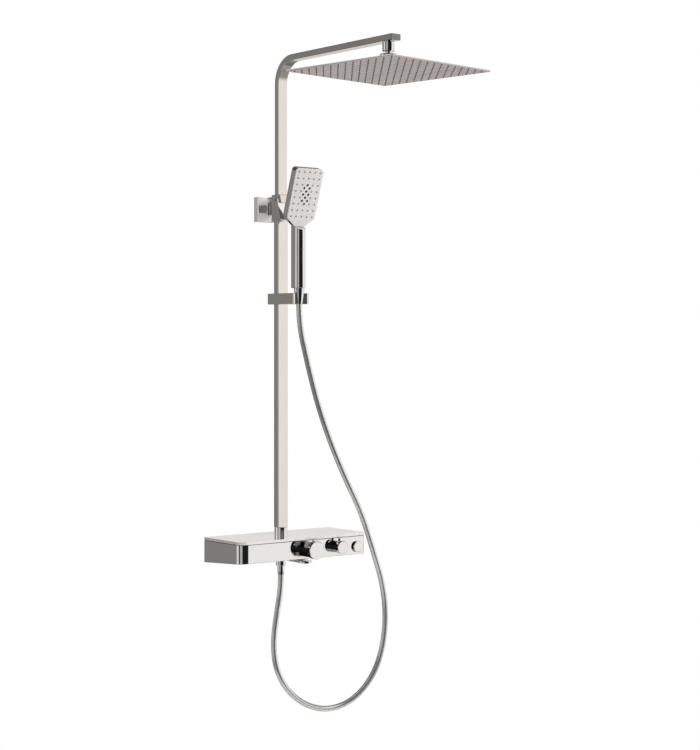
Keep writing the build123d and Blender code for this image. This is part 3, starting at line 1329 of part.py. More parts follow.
with BuildPart() as diverter_knob:
    with BuildSketch(control_plane(DIVERTER_X)):
        with BuildLine():
            Polyline(
                *knob_profile(DIVERTER_R, DIVERTER_CAP_R, DIVERTER_FRONT_Y, DIVERTER_STEM_R),
                close=True,
            )
        make_face()
    revolve(axis=control_axis(DIVERTER_X))
    add(fin(DIVERTER_X, DIVERTER_R, DIVERTER_FRONT_Y, 6.5))
diverter_knob.part.label = "diverter_knob"
export_step(diverter_knob.part, "parts/diverter_knob.step")

for label, x, r, neck_r, stem_r, front in (
    ("thermostat_cartridge", KNOB_X, THERMOSTAT_R, 9.0, KNOB_STEM_R, KNOB_FRONT_Y),
    ("diverter_cartridge", DIVERTER_X, DIVERTER_VALVE_R, 7.0, DIVERTER_STEM_R, DIVERTER_FRONT_Y),
):
    with BuildPart() as cartridge:
        with BuildSketch(control_plane(x)):
            with BuildLine():
                Polyline(*valve_profile(r, neck_r, stem_r, front), close=True)
            make_face()
        revolve(axis=control_axis(x))
    cartridge.part.label = label
    export_step(cartridge.part, "parts/" + label + ".step")

PUSH_STEM_R = 3.0
PUSH_REAR_Y = CASE_FRONT_Y + 6.0
PUSH_ROOF_Y = PUSH_REAR_Y - 11.0
PUSH_VALVE_END_Y = VALVE_FRONT_Y - 8.0
PUSH_TRAVEL_GAP = 4.6

with BuildPart() as push_valve:
    with BuildSketch(front_plane(VALVE_BACK_Y - GAP)):
        with Locations((PUSH_X, PUSH_Z)):
            Circle(PUSH_VALVE_R)
    extrude(amount=VALVE_BACK_Y - GAP - PUSH_VALVE_END_Y)
    with BuildSketch(front_plane(PUSH_VALVE_END_Y)):
        with Locations((PUSH_X, PUSH_Z)):
            Circle(PUSH_STEM_R)
    extrude(amount=PUSH_VALVE_END_Y - PUSH_ROOF_Y - PUSH_TRAVEL_GAP)
push_valve.part.label = "push_valve"
export_step(push_valve.part, "parts/push_valve.step")

with BuildPart() as push_button:
    with BuildSketch(front_plane(PUSH_REAR_Y)):
        with Locations((PUSH_X, PUSH_Z)):
            Circle(PUSH_R)
    extrude(amount=PUSH_REAR_Y - CASE_FRONT_Y + PUSH_L)
    fillet(faces().sort_by(Axis.Y)[0].edges(), 1.4)
    with BuildSketch(front_plane(PUSH_REAR_Y)):
        with Locations((PUSH_X, PUSH_Z)):
            Circle(PUSH_R - 2.5)
    extrude(amount=PUSH_REAR_Y - PUSH_ROOF_Y, mode=Mode.SUBTRACT)
push_button.part.label = "push_button"
export_step(push_button.part, "parts/push_button.step")

push_seat = Plane(
    origin=(PUSH_X, PUSH_VALVE_END_Y - 0.6, PUSH_Z), x_dir=(1, 0, 0), z_dir=(0, -1, 0)
)
push_spring = coil(6.0, 0.5, PUSH_VALVE_END_Y - PUSH_ROOF_Y - 1.2, 5, push_seat)
push_spring.label = "push_spring"
export_step(push_spring, "parts/push_spring.step")

# ---- spout --------------------------------------------------------------------------------
SPOUT_TIP_Y = CASE_FRONT_Y - SPOUT_L
SPOUT_TOP = CASE_FOOT_FRONT - 0.3
SPOUT_FOOT = SPOUT_TOP - SPOUT_T
SPOUT_TIP_ROUND = 14.5
SPOUT_SEAT = 0.1          # gap under the casing

with BuildPart() as spout:
    with BuildSketch(Plane.YZ.offset(SPOUT_X - SPOUT_W / 2)):
        with BuildLine():
            Polyline(
                (SPOUT_ROOT_Y, case_foot(SPOUT_ROOT_Y) - SPOUT_SEAT),
                (CASE_FRONT_Y, case_foot(CASE_FRONT_Y) - SPOUT_SEAT),
                (CASE_FRONT_Y - 1, SPOUT_TOP),
                (SPOUT_TIP_Y, SPOUT_TOP - SPOUT_DROP),
                (SPOUT_TIP_Y, SPOUT_FOOT - SPOUT_DROP),
                (CASE_FRONT_Y, SPOUT_FOOT),
                (SPOUT_ROOT_Y, SPOUT_FOOT),
                close=True,
            )
        make_face()
    extrude(amount=SPOUT_W)
    fillet(edges().filter_by(Axis.Z).group_by(Axis.Y)[0], SPOUT_TIP_ROUND)
    with BuildSketch(Plane.XY.offset(SPOUT_FOOT - SPOUT_DROP)):
        with Locations((SPOUT_X, SPOUT_TIP_Y + 11)):
            SlotOverall(SPOUT_W - 20, 6)
    extrude(amount=SPOUT_T - 1.2, mode=Mode.SUBTRACT)
    with BuildSketch(Plane.XY.offset(SPOUT_FOOT + 1)):
        with Locations(SPOUT_NECK):
            Circle(SPOUT_NECK_R)
    extrude(amount=MANIFOLD_FOOT + SOCKET_DEPTH - 2 - SPOUT_FOOT - 1)
spout.part.label = "spout"
export_step(spout.part, "parts/spout.step")

# =========================================================================================
# Hose
# =========================================================================================
NIPPLE_FOOT = -32.9
HOSE_NUT_TOP = case_foot(TUBE_Y) - 1.2
HOSE_NUT_FOOT = HOSE_NUT_TOP - HOSE_NUT_H
NUT_SHELF = HOSE_NUT_FOOT + 4.0    # inner shelf that carries the ferrule's collar
FERRULE_FOOT = HOSE_NUT_FOOT - FERRULE_H
FERRULE_COLLAR_R = 9.4

with BuildPart() as hose_outlet:
    with BuildSketch(Plane.XY.offset(NIPPLE_FOOT)):
        with Locations((0, TUBE_Y)):
            Circle(NIPPLE_R)
    extrude(amount=MANIFOLD_FOOT - NIPPLE_FOOT)
    with BuildSketch(Plane.XY.offset(MANIFOLD_FOOT)):
        with Locations((0, TUBE_Y)):
            Circle(NIPPLE_R - 1.5)
    extrude(amount=SOCKET_DEPTH - 1 - GAP)
    with BuildSketch(Plane.XY.offset(NIPPLE_FOOT)):
        with Locations((0, TUBE_Y)):
            Circle(PIPE_R + 0.5)
    extrude(amount=MANIFOLD_FOOT + SOCKET_DEPTH - NIPPLE_FOOT, mode=Mode.SUBTRACT)
hose_outlet.part.label = "hose_outlet"
export_step(hose_outlet.part, "parts/hose_outlet.step")

with BuildPart() as hose_nut:
    with BuildSketch(Plane.XY.offset(HOSE_NUT_FOOT)):
        with Locations((0, TUBE_Y)):
            Circle(HOSE_NUT_R)
    extrude(amount=HOSE_NUT_H)
    chamfer(faces().filter_by(Axis.Z).edges(), 0.8)
    with BuildSketch(Plane.XY.offset(NUT_SHELF)):
        with Locations((0, TUBE_Y)):
            Circle(NIPPLE_R + FIT)
    extrude(amount=HOSE_NUT_H, mode=Mode.SUBTRACT)
    with BuildSketch(Plane.XY.offset(HOSE_NUT_FOOT)):
        with Locations((0, TUBE_Y)):
            Circle(FERRULE_R + FIT)
    extrude(amount=HOSE_NUT_H, mode=Mode.SUBTRACT)
hose_nut.part.label = "hose_nut"
export_step(hose_nut.part, "parts/hose_nut.step")

with BuildPart() as hose_ferrule:
    with BuildSketch(Plane.XZ.offset(-TUBE_Y)):
        with BuildLine():
            Polyline(
                (PIPE_BORE_R, NIPPLE_FOOT - GAP),
                (FERRULE_COLLAR_R, NIPPLE_FOOT - GAP),
                (FERRULE_COLLAR_R, NUT_SHELF),
                (FERRULE_R, NUT_SHELF),
                (FERRULE_R, FERRULE_FOOT + 6),
                (FERRULE_R - 0.8, FERRULE_FOOT),
                (PIPE_BORE_R, FERRULE_FOOT),
                close=True,
            )
        make_face()
    revolve(axis=Axis((0, TUBE_Y, 0), (0, 0, 1)))
hose_ferrule.part.label = "hose_ferrule"
export_step(hose_ferrule.part, "parts/hose_ferrule.step")

# The hose hangs from the mixer's underside, swings out past the mixer's right end and
# climbs to the cone nut in the holder.
HOSE_POINTS = [
    (0, TUBE_Y, FERRULE_FOOT),
    (0, TUBE_Y, -90),
    (-12, -65.5, -143),
    (-26, -70, -210),
    (-22, -77, -270),
    (8, -83, -322),
    (60, -89, -359),
    (120, -94.5, -371),
    (182, -100, -354),
    (232, -106, -305),
    (255, -112, -240),
    (259, -118, -164),
    (243, -124, -90),
    (214, -128.5, -20),
    (176, -132, 72),
    (128, -132.5, 154),
    (86, -131.5, 238),
    (49, -132.5, 326),
    (22, -131.5, 418),
    (0, HANDLE_Y, 499),
    (0, HANDLE_Y, CONE_FOOT),
]


def run_lengths(points):
    """Length of each straight run between neighbouring points."""
    return [
        hypot(b[0] - a[0], b[1] - a[1], b[2] - a[2]) for a, b in zip(points, points[1:])
    ]


def bend_radii(points):
    """Radius of each bend, from the shorter neighbouring run and half the turn."""
    radii = []
    for before, here, after in zip(points, points[1:], points[2:]):
        run_in = Vector(*here) - Vector(*before)
        run_out = Vector(*after) - Vector(*here)
        half_turn = radians(run_in.get_angle(run_out)) / 2
        radii.append(0.45 * min(run_in.length, run_out.length) / tan(half_turn))
    return radii


HOSE_BENDS = bend_radii(HOSE_POINTS)

with BuildPart() as hose:
    with BuildLine() as hose_route:
        FilletPolyline(*HOSE_POINTS, radius=HOSE_BENDS)
    with BuildSketch(Plane(origin=hose_route.line @ 0, z_dir=hose_route.line % 0)):
        Circle(HOSE_R)
    sweep(path=hose_route.line)
hose.part.label = "hose"
export_step(hose.part, "parts/hose.step")

print("hose runs", [round(run) for run in run_lengths(HOSE_POINTS)])
print("hose bend radii", [round(radius) for radius in HOSE_BENDS])
HOSE_LENGTH = hose_route.wires()[0].length
print("hose length", round(HOSE_LENGTH), "volume", round(hose.part.volume))
print("section times length", round(pi * HOSE_R**2 * HOSE_LENGTH))
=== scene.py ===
import json
from math import cos, radians, sin

import bpy
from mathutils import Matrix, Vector

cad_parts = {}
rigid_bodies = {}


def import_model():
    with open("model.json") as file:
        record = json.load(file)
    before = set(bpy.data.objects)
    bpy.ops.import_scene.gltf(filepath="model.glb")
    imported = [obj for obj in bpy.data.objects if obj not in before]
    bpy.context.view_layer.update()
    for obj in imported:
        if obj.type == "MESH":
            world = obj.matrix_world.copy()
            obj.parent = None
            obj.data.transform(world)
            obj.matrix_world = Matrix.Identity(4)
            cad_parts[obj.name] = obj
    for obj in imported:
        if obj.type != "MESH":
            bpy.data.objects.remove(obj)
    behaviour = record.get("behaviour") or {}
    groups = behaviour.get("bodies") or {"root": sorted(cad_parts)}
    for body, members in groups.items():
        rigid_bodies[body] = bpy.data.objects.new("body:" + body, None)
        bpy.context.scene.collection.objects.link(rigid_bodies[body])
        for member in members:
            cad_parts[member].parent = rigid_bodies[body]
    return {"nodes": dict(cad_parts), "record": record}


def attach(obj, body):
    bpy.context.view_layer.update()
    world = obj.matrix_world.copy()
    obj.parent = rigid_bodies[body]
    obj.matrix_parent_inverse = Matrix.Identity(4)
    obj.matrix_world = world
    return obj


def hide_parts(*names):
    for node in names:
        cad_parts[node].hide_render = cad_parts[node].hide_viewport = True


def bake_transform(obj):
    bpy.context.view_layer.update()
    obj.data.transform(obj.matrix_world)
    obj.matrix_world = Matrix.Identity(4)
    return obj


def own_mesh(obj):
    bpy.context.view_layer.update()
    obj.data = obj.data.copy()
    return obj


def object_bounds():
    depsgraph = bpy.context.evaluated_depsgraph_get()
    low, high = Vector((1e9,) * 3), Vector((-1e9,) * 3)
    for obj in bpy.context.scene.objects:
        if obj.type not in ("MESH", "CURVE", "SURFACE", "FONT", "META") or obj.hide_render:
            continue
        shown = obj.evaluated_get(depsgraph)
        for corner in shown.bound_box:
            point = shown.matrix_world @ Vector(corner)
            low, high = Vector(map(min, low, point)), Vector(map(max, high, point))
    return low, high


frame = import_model()
NODES = frame["nodes"]
CAD_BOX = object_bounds()

# =========================================================================================
# Camera
# =========================================================================================
RISER = Vector((0, -0.064, 0))    # the camera's place is measured from the riser's axis
VIEW_AZIMUTH = radians(38.3)      # the view turns this far from straight at the wall
VIEW_DISTANCE = 4.0
VIEW_SIDE = 0.154                 # the column stands left of the frame's middle
VIEW_HEIGHT = 0.463
LENS = 86.16
FRAME_SHIFT = -0.0467


def view():
    """A level camera, which looks at the column from its left."""
    along = Vector((sin(VIEW_AZIMUTH), cos(VIEW_AZIMUTH), 0))
    aside = Vector((cos(VIEW_AZIMUTH), -sin(VIEW_AZIMUTH), 0))
    lens = bpy.data.cameras.new("camera")
    lens.lens = LENS
    lens.shift_y = FRAME_SHIFT
    camera = bpy.data.objects.new("camera", lens)
    camera.location = RISER - VIEW_DISTANCE * along + VIEW_SIDE * aside
    camera.location.z = VIEW_HEIGHT
    camera.rotation_euler = (radians(90), 0, -VIEW_AZIMUTH)
    bpy.context.collection.objects.link(camera)
    bpy.context.scene.camera = camera


view()


# =========================================================================================
# Materials
# =========================================================================================
class Shader:
    """A Principled material with short calls for the texture nodes that feed it."""

    def __init__(self, name, colour, metallic=0.0, roughness=0.5, **sockets):
        self.material = bpy.data.materials.new(name)
        self.material.use_nodes = True
        self.tree = self.material.node_tree
        self.bsdf = self.tree.nodes["Principled BSDF"]
        self.set("Base Color", (*colour, 1))
        self.set("Metallic", metallic)
        self.set("Roughness", roughness)
        for socket, value in sockets.items():
            self.set(socket.replace("_", " "), value)
        self.place = self.add("ShaderNodeTexCoord").outputs["Object"]

    def add(self, kind, **settings):
        node = self.tree.nodes.new(kind)
        for key, value in settings.items():
            setattr(node, key, value)
        return node

    def set(self, socket, value):
        self.bsdf.inputs[socket].default_value = value

    def link(self, output, socket):
        self.tree.links.new(output, self.bsdf.inputs[socket])

    def stretched(self, scale):
        """Object coordinates scaled along each axis."""
        node = self.add("ShaderNodeMapping")
        node.inputs["Scale"].default_value = scale
        self.tree.links.new(self.place, node.inputs["Vector"])
        return node.outputs["Vector"]

    def noise(self, scale, detail=4.0, vector=None):
        node = self.add("ShaderNodeTexNoise")
        node.inputs["Scale"].default_value = scale
        node.inputs["Detail"].default_value = detail
        self.tree.links.new(vector or self.place, node.inputs["Vector"])
        return node.outputs["Fac"]

    def remap(self, output, low, high, start=0.35, end=0.65):
        node = self.add("ShaderNodeMapRange")
        self.tree.links.new(output, node.inputs["Value"])
        node.inputs["From Min"].default_value = start
        node.inputs["From Max"].default_value = end
        node.inputs["To Min"].default_value = low
        node.inputs["To Max"].default_value = high
        return node.outputs["Result"]

    def ramp(self, output, *stops):
        node = self.add("ShaderNodeValToRGB")
        while len(node.color_ramp.elements) < len(stops):
            node.color_ramp.elements.new(0.5)
        for element, (position, colour) in zip(node.color_ramp.elements, stops):
            element.position = position
            element.color = (*colour, 1)
        self.tree.links.new(output, node.inputs["Fac"])
        return node.outputs["Color"]

    def compare(self, output, middle, reach):
        """1 within reach of the middle value, 0 outside."""
        node = self.add("ShaderNodeMath", operation="COMPARE")
        self.tree.links.new(output, node.inputs[0])
        node.inputs[1].default_value = middle
        node.inputs[2].default_value = reach
        return node.outputs["Value"]

    def bump(self, output, distance, strength=1.0):
        """Relief of the given depth in metres."""
        node = self.add("ShaderNodeBump")
        node.inputs["Distance"].default_value = distance
        node.inputs["Strength"].default_value = strength
        self.tree.links.new(output, node.inputs["Height"])
        self.link(node.outputs["Normal"], "Normal")

    def gloss(self, pattern, smooth, rough):
        """Roughness that drifts between two values along a pattern."""
        self.link(self.remap(pattern, smooth, rough), "Roughness")

    def tone(self, pattern, first, second, start=0.3, end=0.7):
        """Base colour that drifts between two tones along a pattern."""
        self.link(self.ramp(pattern, (start, first), (end, second)), "Base Color")


RIPPLE = 0.00002                  # depth of the slow waves in a plated surface
BRUSHED = 0.00003                 # depth of the head's brushed lines
TOOL_MARKS = 0.00005              # depth of the marks left on turned brass
RUBBER_SKIN = 0.00004             # depth of the grain of moulded rubber
PLASTIC_GRAIN = 0.00002           # depth of the grain of moulded plastic

# The dark nozzles form a chain in the middle of the hand shower's face.
CHAIN_HALF_WIDTH = 0.0105
CHAIN_MIDDLE, CHAIN_HALF_HEIGHT = 0.7812, 0.027
LIGHT_NOZZLES = (0.24, 0.235, 0.23), (0.29, 0.285, 0.28)
DARK_NOZZLES = (0.035, 0.034, 0.033), (0.05, 0.05, 0.05)


def shade(colour, factor):
    return tuple(factor * part for part in colour)


def plated(name, colour, smooth, rough):
    """Electroplated metal: near mirror, with faint haze and a slow ripple."""
    shader = Shader(name, colour, metallic=1.0)
    shader.gloss(shader.noise(scale=26, detail=5), smooth, rough)
    shader.tone(shader.noise(scale=9, detail=3), shade(colour, 0.96), colour)
    shader.bump(shader.noise(scale=18, detail=2), RIPPLE, strength=0.4)
    return shader.material


def satin(name, colour, metallic, smooth, rough):
    """Satin finish that blurs what stands close to it."""
    shader = Shader(name, colour, metallic=metallic)
    shader.gloss(shader.noise(scale=40), smooth, rough)
    shader.tone(shader.noise(scale=12, detail=3), shade(colour, 0.95), colour)
    return shader.material


def head_steel():
    """Steel sheet brushed along one direction."""
    shader = Shader("head_steel", (0.60, 0.515, 0.505), metallic=1.0)
    lines = shader.noise(scale=240, detail=6, vector=shader.stretched((1.0, 0.02, 1.0)))
    shader.gloss(lines, 0.22, 0.34)
    shader.tone(lines, (0.55, 0.47, 0.46), (0.65, 0.56, 0.55), start=0.25, end=0.75)
    shader.bump(lines, BRUSHED, strength=0.5)
    return shader.material


def spring_steel():
    shader = Shader("spring_steel", (0.55, 0.55, 0.55), metallic=1.0)
    shader.gloss(shader.noise(scale=300), 0.2, 0.4)
    return shader.material


def wall_steel():
    """Zinc-plated fastener steel with a mottled sheen."""
    shader = Shader("wall_steel", (0.58, 0.58, 0.57), metallic=1.0)
    spangle = shader.noise(scale=140, detail=3)
    shader.gloss(spangle, 0.22, 0.45)
    shader.tone(spangle, (0.50, 0.50, 0.50), (0.64, 0.64, 0.63))
    return shader.material


def raw_brass():
    """Turned brass, with fine tool marks round each axis."""
    shader = Shader("raw_brass", (0.70, 0.52, 0.26), metallic=1.0)
    marks = shader.noise(scale=60, detail=6, vector=shader.stretched((0.2, 12, 0.2)))
    shader.gloss(marks, 0.18, 0.36)
    shader.tone(marks, (0.62, 0.45, 0.21), (0.74, 0.56, 0.29))
    shader.bump(marks, TOOL_MARKS, strength=0.5)
    return shader.material


def rubber_skin(name, colour):
    """The dull skin of moulded silicone, before its colour pattern."""
    shader = Shader(name, colour, Sheen_Weight=0.15)
    skin = shader.noise(scale=900, detail=3)
    shader.gloss(skin, 0.45, 0.62)
    shader.bump(skin, RUBBER_SKIN, strength=0.5)
    return shader


def rubber(name, colour):
    shader = rubber_skin(name, colour)
    shader.tone(shader.noise(scale=120), colour, shade(colour, 1.15))
    return shader.material


def two_tone_rubber():
    """Spray nozzles in two shots: light grey ones, and a dark chain in the middle."""
    shader = rubber_skin("spray_rubber", LIGHT_NOZZLES[0])
    split = shader.add("ShaderNodeSeparateXYZ")
    shader.tree.links.new(shader.place, split.inputs["Vector"])
    across = shader.compare(split.outputs["X"], 0, CHAIN_HALF_WIDTH)
    upwards = shader.compare(split.outputs["Z"], CHAIN_MIDDLE, CHAIN_HALF_HEIGHT)
    both = shader.add("ShaderNodeMath", operation="MULTIPLY")
    shader.tree.links.new(across, both.inputs[0])
    shader.tree.links.new(upwards, both.inputs[1])
    mottle = shader.noise(scale=120)
    mix = shader.add("ShaderNodeMix", data_type="RGBA")
    shader.tree.links.new(both.outputs["Value"], mix.inputs["Factor"])
    for socket, (first, second) in (("A", LIGHT_NOZZLES), ("B", DARK_NOZZLES)):
        colours = shader.ramp(mottle, (0.3, first), (0.7, second))
        shader.tree.links.new(colours, mix.inputs[socket])
    shader.link(mix.outputs["Result"], "Base Color")
    return shader.material


def moulded(name, colour, smooth, rough):
    """Injection-moulded plastic with a light texture."""
    shader = Shader(name, colour, Coat_Weight=0.15)
    grain = shader.noise(scale=1400, detail=2)
    shader.gloss(grain, smooth, rough)
    shader.tone(shader.noise(scale=60), shade(colour, 0.93), colour)
    shader.bump(grain, PLASTIC_GRAIN, strength=0.4)
    return shader.material


def face_plastic():
    """Gloss face of the hand shower."""
    shader = Shader("face_plastic", (0.88, 0.87, 0.86), Coat_Weight=0.6, Coat_Roughness=0.04)
    shader.gloss(shader.noise(scale=30), 0.16, 0.24)
    shader.tone(shader.noise(scale=14), (0.86, 0.85, 0.84), (0.89, 0.88, 0.87))
    return shader.material


def white_glass():
    """Glass shelf painted white behind: the paint shows through a polished surface."""
    shader = Shader("white_glass", (0.87, 0.86, 0.83), Coat_Weight=1.0, Coat_Roughness=0.02)
    shader.gloss(shader.noise(scale=12, detail=2), 0.05, 0.09)
    shader.tone(shader.noise(scale=5, detail=2), (0.84, 0.835, 0.81), (0.87, 0.865, 0.84))
    return shader.material


def hose_silver():
    """Smooth silver hose: metallic foil under a clear skin."""
    shader = Shader(
        "hose_silver", (0.82, 0.80, 0.795), metallic=0.8, Coat_Weight=0.3, Coat_Roughness=0.06
    )
    foil = shader.noise(scale=40, detail=3)
    shader.gloss(foil, 0.13, 0.18)
    shader.tone(foil, (0.77, 0.755, 0.75), (0.82, 0.805, 0.80))
    return shader.material


# The finish of each material slot of the record.
FINISHES = {
    "polished_chrome": plated("polished_chrome", (0.86, 0.86, 0.865), 0.035, 0.08),
    "plated_plastic": plated("plated_plastic", (0.82, 0.81, 0.80), 0.05, 0.10),
    "head_steel": head_steel(),
    "spring_steel": spring_steel(),
    "wall_steel": wall_steel(),
    "raw_brass": raw_brass(),
    "nozzle_rubber": rubber("nozzle_rubber", (0.24, 0.225, 0.215)),
    "spray_rubber": two_tone_rubber(),
    "seal_rubber": rubber("seal_rubber", (0.02, 0.02, 0.02)),
    "dark_plastic": moulded("dark_plastic", (0.035, 0.035, 0.037), 0.3, 0.45),
    "button_plastic": moulded("button_plastic", (0.42, 0.42, 0.41), 0.25, 0.35),
    "face_plastic": face_plastic(),
    "white_glass": white_glass(),
    "hose_silver": hose_silver(),
}
WARM = plated("warm_chrome", (0.775, 0.745, 0.71), 0.045, 0.10)
# Nodes whose finish differs from that of their slot.
OWN_FINISH = {
    # The arm's cap gets a copy of the chrome darkened to about a quarter: painted shade,
    # standing in for the darker tone on the arm's end.
    "arm_cap": plated("cap_chrome_painted_shade", (0.27, 0.255, 0.245), 0.16, 0.26),
    "upper_tube": WARM,
    "lower_tube": WARM,
    "clamp_body": WARM,
    "clamp_lever": WARM,
    "bracket_arm": satin("bracket_plate", (0.62, 0.595, 0.57), 0.78, 0.24, 0.34),
    "arm_collar": WARM,
    "wall_flange": satin("flange_plate", (0.99, 0.965, 0.945), 0.0, 0.24, 0.34),
    "holder_body": WARM,
}
SLOT_OF = {sub["node"]: sub["material_slot"] for sub in frame["record"]["subparts"]}


def dress(piece, finish):
    piece.data.materials.clear()
    piece.data.materials.append(finish)


def add_piece(name, mesh, finish):
    """A new object with the given mesh and finish."""
    piece = bpy.data.objects.new(name, mesh)
    bpy.context.collection.objects.link(piece)
    dress(piece, finish)
    return piece


for name, node in NODES.items():
    dress(node, OWN_FINISH.get(name, FINISHES[SLOT_OF[name]]))


# =========================================================================================
# Hose
# =========================================================================================
HOSE_RADIUS = 0.0065
HOSE_STEPS = 24                   # steps of the tube between two of its points
HOSE_FACETS = 10                  # fineness of the tube's round section
HOSE_POINTS = [
    (0, -0.064, -0.0593),
    (0, -0.064, -0.090),
    (-0.012, -0.0655, -0.143),
    (-0.026, -0.070, -0.210),
    (-0.022, -0.077, -0.270),
    (0.008, -0.083, -0.322),
    (0.060, -0.089, -0.359),
    (0.120, -0.0945, -0.371),
    (0.182, -0.100, -0.354),
    (0.232, -0.106, -0.305),
    (0.255, -0.112, -0.240),
    (0.259, -0.118, -0.164),
    (0.243, -0.124, -0.090),
    (0.214, -0.1285, -0.020),
    (0.176, -0.132, 0.072),
    (0.128, -0.1325, 0.154),
    (0.086, -0.1315, 0.238),
    (0.049, -0.1325, 0.326),
    (0.022, -0.1315, 0.418),
    (0, -0.132, 0.499),
    (0, -0.132, 0.5427),
]


def hose_route():
    """The hose's centre line: one smooth curve along its points."""
    curve = bpy.data.curves.new("hose_route", "CURVE")
    curve.dimensions = "3D"
    curve.resolution_u = HOSE_STEPS
    spline = curve.splines.new("NURBS")
    spline.points.add(len(HOSE_POINTS) - 1)
    for point, place in zip(spline.points, HOSE_POINTS):
        point.co = (*place, 1)
    spline.order_u = 3
    spline.use_endpoint_u = True
    return bpy.data.objects.new("hose_route", curve)


def hose():
    """The hose's tube. It stays out of mirror images, where it would leave a dark streak."""
    route = hose_route()
    line = bpy.data.meshes.new_from_object(route)
    route.data.bevel_depth = HOSE_RADIUS
    route.data.bevel_resolution = HOSE_FACETS
    tube = bpy.data.meshes.new_from_object(route)
    tube.shade_smooth()
    piece = add_piece("hose_tube", tube, FINISHES["hose_silver"])
    piece.visible_glossy = False
    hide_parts("hose")
    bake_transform(piece)


hose()


# =========================================================================================
# Springs: each one is copied into a piece of its own, on its press joint's parent body
# =========================================================================================
SPRINGS = {
    "mode_spring": "mode_press",
    "safety_spring": "safety_press",
    "push_spring": "push_press",
}


def spring(node, joint):
    """The node's spring, copied into a piece of its own on the parent body of the joint."""
    press = next(j for j in frame["record"]["behaviour"]["joints"] if j["name"] == joint)
    mesh = NODES[node].data.copy()
    piece = add_piece(node + "_wire", mesh, FINISHES[SLOT_OF[node]])
    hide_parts(node)
    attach(piece, press["parent"])
    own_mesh(piece)


for node, joint in SPRINGS.items():
    spring(node, joint)


# =========================================================================================
# Floor and light
# =========================================================================================
FLOOR_DROP = 0.5                  # the floor lies this far under the hose
FLOOR_FADE = (0.9, 1.6)           # the floor fades out between these distances


def floor():
    """A plain pale floor that fades into the background."""
    half = FLOOR_FADE[1]
    height = CAD_BOX[0][2] - FLOOR_DROP
    corners = [(-half, -half), (half, -half), (half, half), (-half, half)]
    mesh = bpy.data.meshes.new("floor")
    mesh.from_pydata([(x, y, height) for x, y in corners], [], [(0, 1, 2, 3)])
    shader = Shader("floor", (0.90, 0.90, 0.90), roughness=0.9)
    distance = shader.add("ShaderNodeVectorMath", operation="LENGTH")
    shader.tree.links.new(shader.stretched((1, 1, 0)), distance.inputs[0])
    fade = shader.remap(distance.outputs["Value"], 1, 0, *FLOOR_FADE)
    shader.link(fade, "Alpha")
    add_piece("floor", mesh, shader.material)


# Brightness of the studio round the column: degrees clockwise from its bright side.
STUDIO = (
    (0, 1.00),
    (9, 1.00),
    (13, 0.015),
    (84, 0.015),
    (90, 0.50),
    (117, 0.55),
    (121, 0.06),
    (137, 0.06),
    (141, 0.85),
    (168, 0.85),
    (173, 0.25),
    (190, 0.25),
    (205, 0.32),
    (235, 0.45),
    (245, 0.78),
    (266, 0.78),
    (276, 0.55),
    (292, 0.55),
    (302, 0.95),
    (340, 1.00),
    (360, 1.00),
)
# Brightness by height, from straight down to straight up.
HEIGHTS = (
    (0.0, 0.30),
    (0.30, 0.35),
    (0.42, 0.90),
    (0.47, 1.0),
    (0.57, 1.0),
    (0.66, 0.30),
    (1.0, 0.25),
)
BRIGHT_SIDE = -51.7               # compass direction of the bright side
WARMTH = (1, 0.985, 0.965)
NEUTRAL = (1, 1, 1)


def ramp_of(nodes, stops, tint):
    """A smooth brightness ramp."""
    ramp = nodes.new("ShaderNodeValToRGB")
    ramp.color_ramp.interpolation = "LINEAR"
    while len(ramp.color_ramp.elements) < len(stops):
        ramp.color_ramp.elements.new(0.5)
    for element, (position, value) in zip(ramp.color_ramp.elements, stops):
        element.position = position
        element.color = (*shade(tint, value), 1)
    return ramp


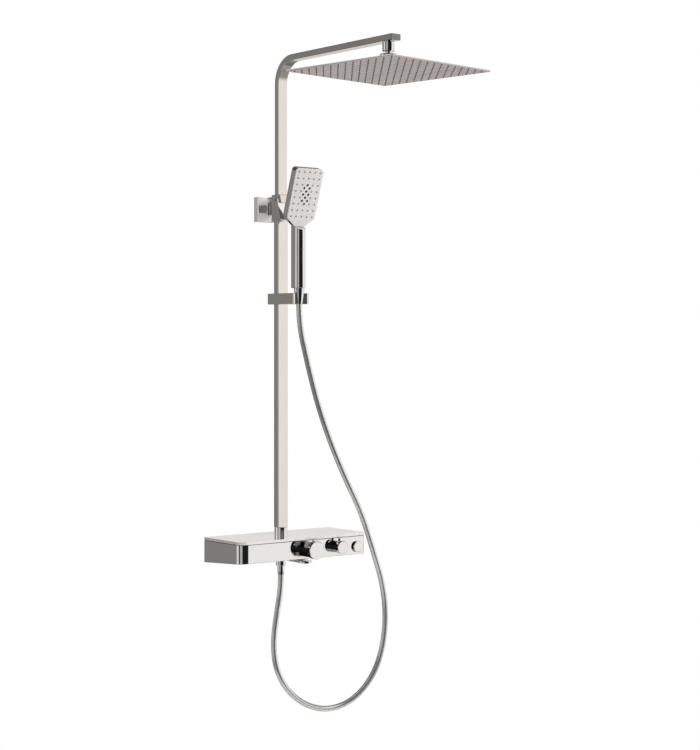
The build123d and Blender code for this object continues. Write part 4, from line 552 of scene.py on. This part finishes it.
def studio():
    """Soft light round the column, against a white background."""
    world = bpy.data.worlds.new("studio")
    world.use_nodes = True
    bpy.context.scene.world = world
    nodes, links = world.node_tree.nodes, world.node_tree.links
    place = nodes.new("ShaderNodeTexCoord")
    turn = nodes.new("ShaderNodeMapping")
    turn.inputs["Rotation"].default_value = (0, 0, radians(180 - BRIGHT_SIDE))
    compass = nodes.new("ShaderNodeTexGradient")
    compass.gradient_type = "RADIAL"
    around = ramp_of(nodes, sorted((1 - angle / 360, value) for angle, value in STUDIO), WARMTH)
    split = nodes.new("ShaderNodeSeparateXYZ")
    height = nodes.new("ShaderNodeMapRange")
    height.inputs["From Min"].default_value = -1
    upwards = ramp_of(nodes, HEIGHTS, NEUTRAL)
    both = nodes.new("ShaderNodeMix")
    both.data_type = "RGBA"
    both.blend_type = "MULTIPLY"
    both.inputs["Factor"].default_value = 1
    light = nodes["Background"]
    backdrop = nodes.new("ShaderNodeBackground")
    backdrop.inputs["Color"].default_value = (*NEUTRAL, 1)
    rays = nodes.new("ShaderNodeLightPath")
    mix = nodes.new("ShaderNodeMixShader")
    for output, target in (
        (place.outputs["Generated"], turn.inputs["Vector"]),
        (turn.outputs["Vector"], compass.inputs["Vector"]),
        (compass.outputs["Fac"], around.inputs["Fac"]),
        (place.outputs["Generated"], split.inputs["Vector"]),
        (split.outputs["Z"], height.inputs["Value"]),
        (height.outputs["Result"], upwards.inputs["Fac"]),
        (around.outputs["Color"], both.inputs["A"]),
        (upwards.outputs["Color"], both.inputs["B"]),
        (both.outputs["Result"], light.inputs["Color"]),
        (rays.outputs["Is Camera Ray"], mix.inputs["Fac"]),
        (light.outputs["Background"], mix.inputs[1]),
        (backdrop.outputs["Background"], mix.inputs[2]),
        (mix.outputs["Shader"], nodes["World Output"].inputs["Surface"]),
    ):
        links.new(output, target)


# Each softbox: name, place, point it faces, size, watts, and whether chrome mirrors it.
SOFTBOXES = (
    ("key", (2.2, -3.0, 2.6), (0, -0.2, 0.4), (2.4, 2.0), 85, False),
    ("fill", (-1.2, -3.0, -0.6), (0, -0.15, 0.7), (1.8, 1.8), 42, False),
    ("top", (0.2, -0.6, 3.2), (0, -0.2, 0.2), (2.0, 2.0), 52, False),
    ("card", (2.5, -2.6, 3.2), (0, -0.1, 0.7), (2.6, 2.2), 16, True),
)


def softbox(name, place, target, size, watts, mirrored):
    light = bpy.data.lights.new(name, "AREA")
    light.shape = "RECTANGLE"
    light.size, light.size_y = size
    light.energy = watts
    piece = bpy.data.objects.new(name, light)
    piece.location = place
    piece.visible_glossy = mirrored
    aim = Vector(target) - Vector(place)
    piece.rotation_euler = aim.to_track_quat("-Z", "Y").to_euler()
    bpy.context.collection.objects.link(piece)


floor()
studio()
for box in SOFTBOXES:
    softbox(*box)
bpy.context.scene.view_settings.view_transform = "Standard"
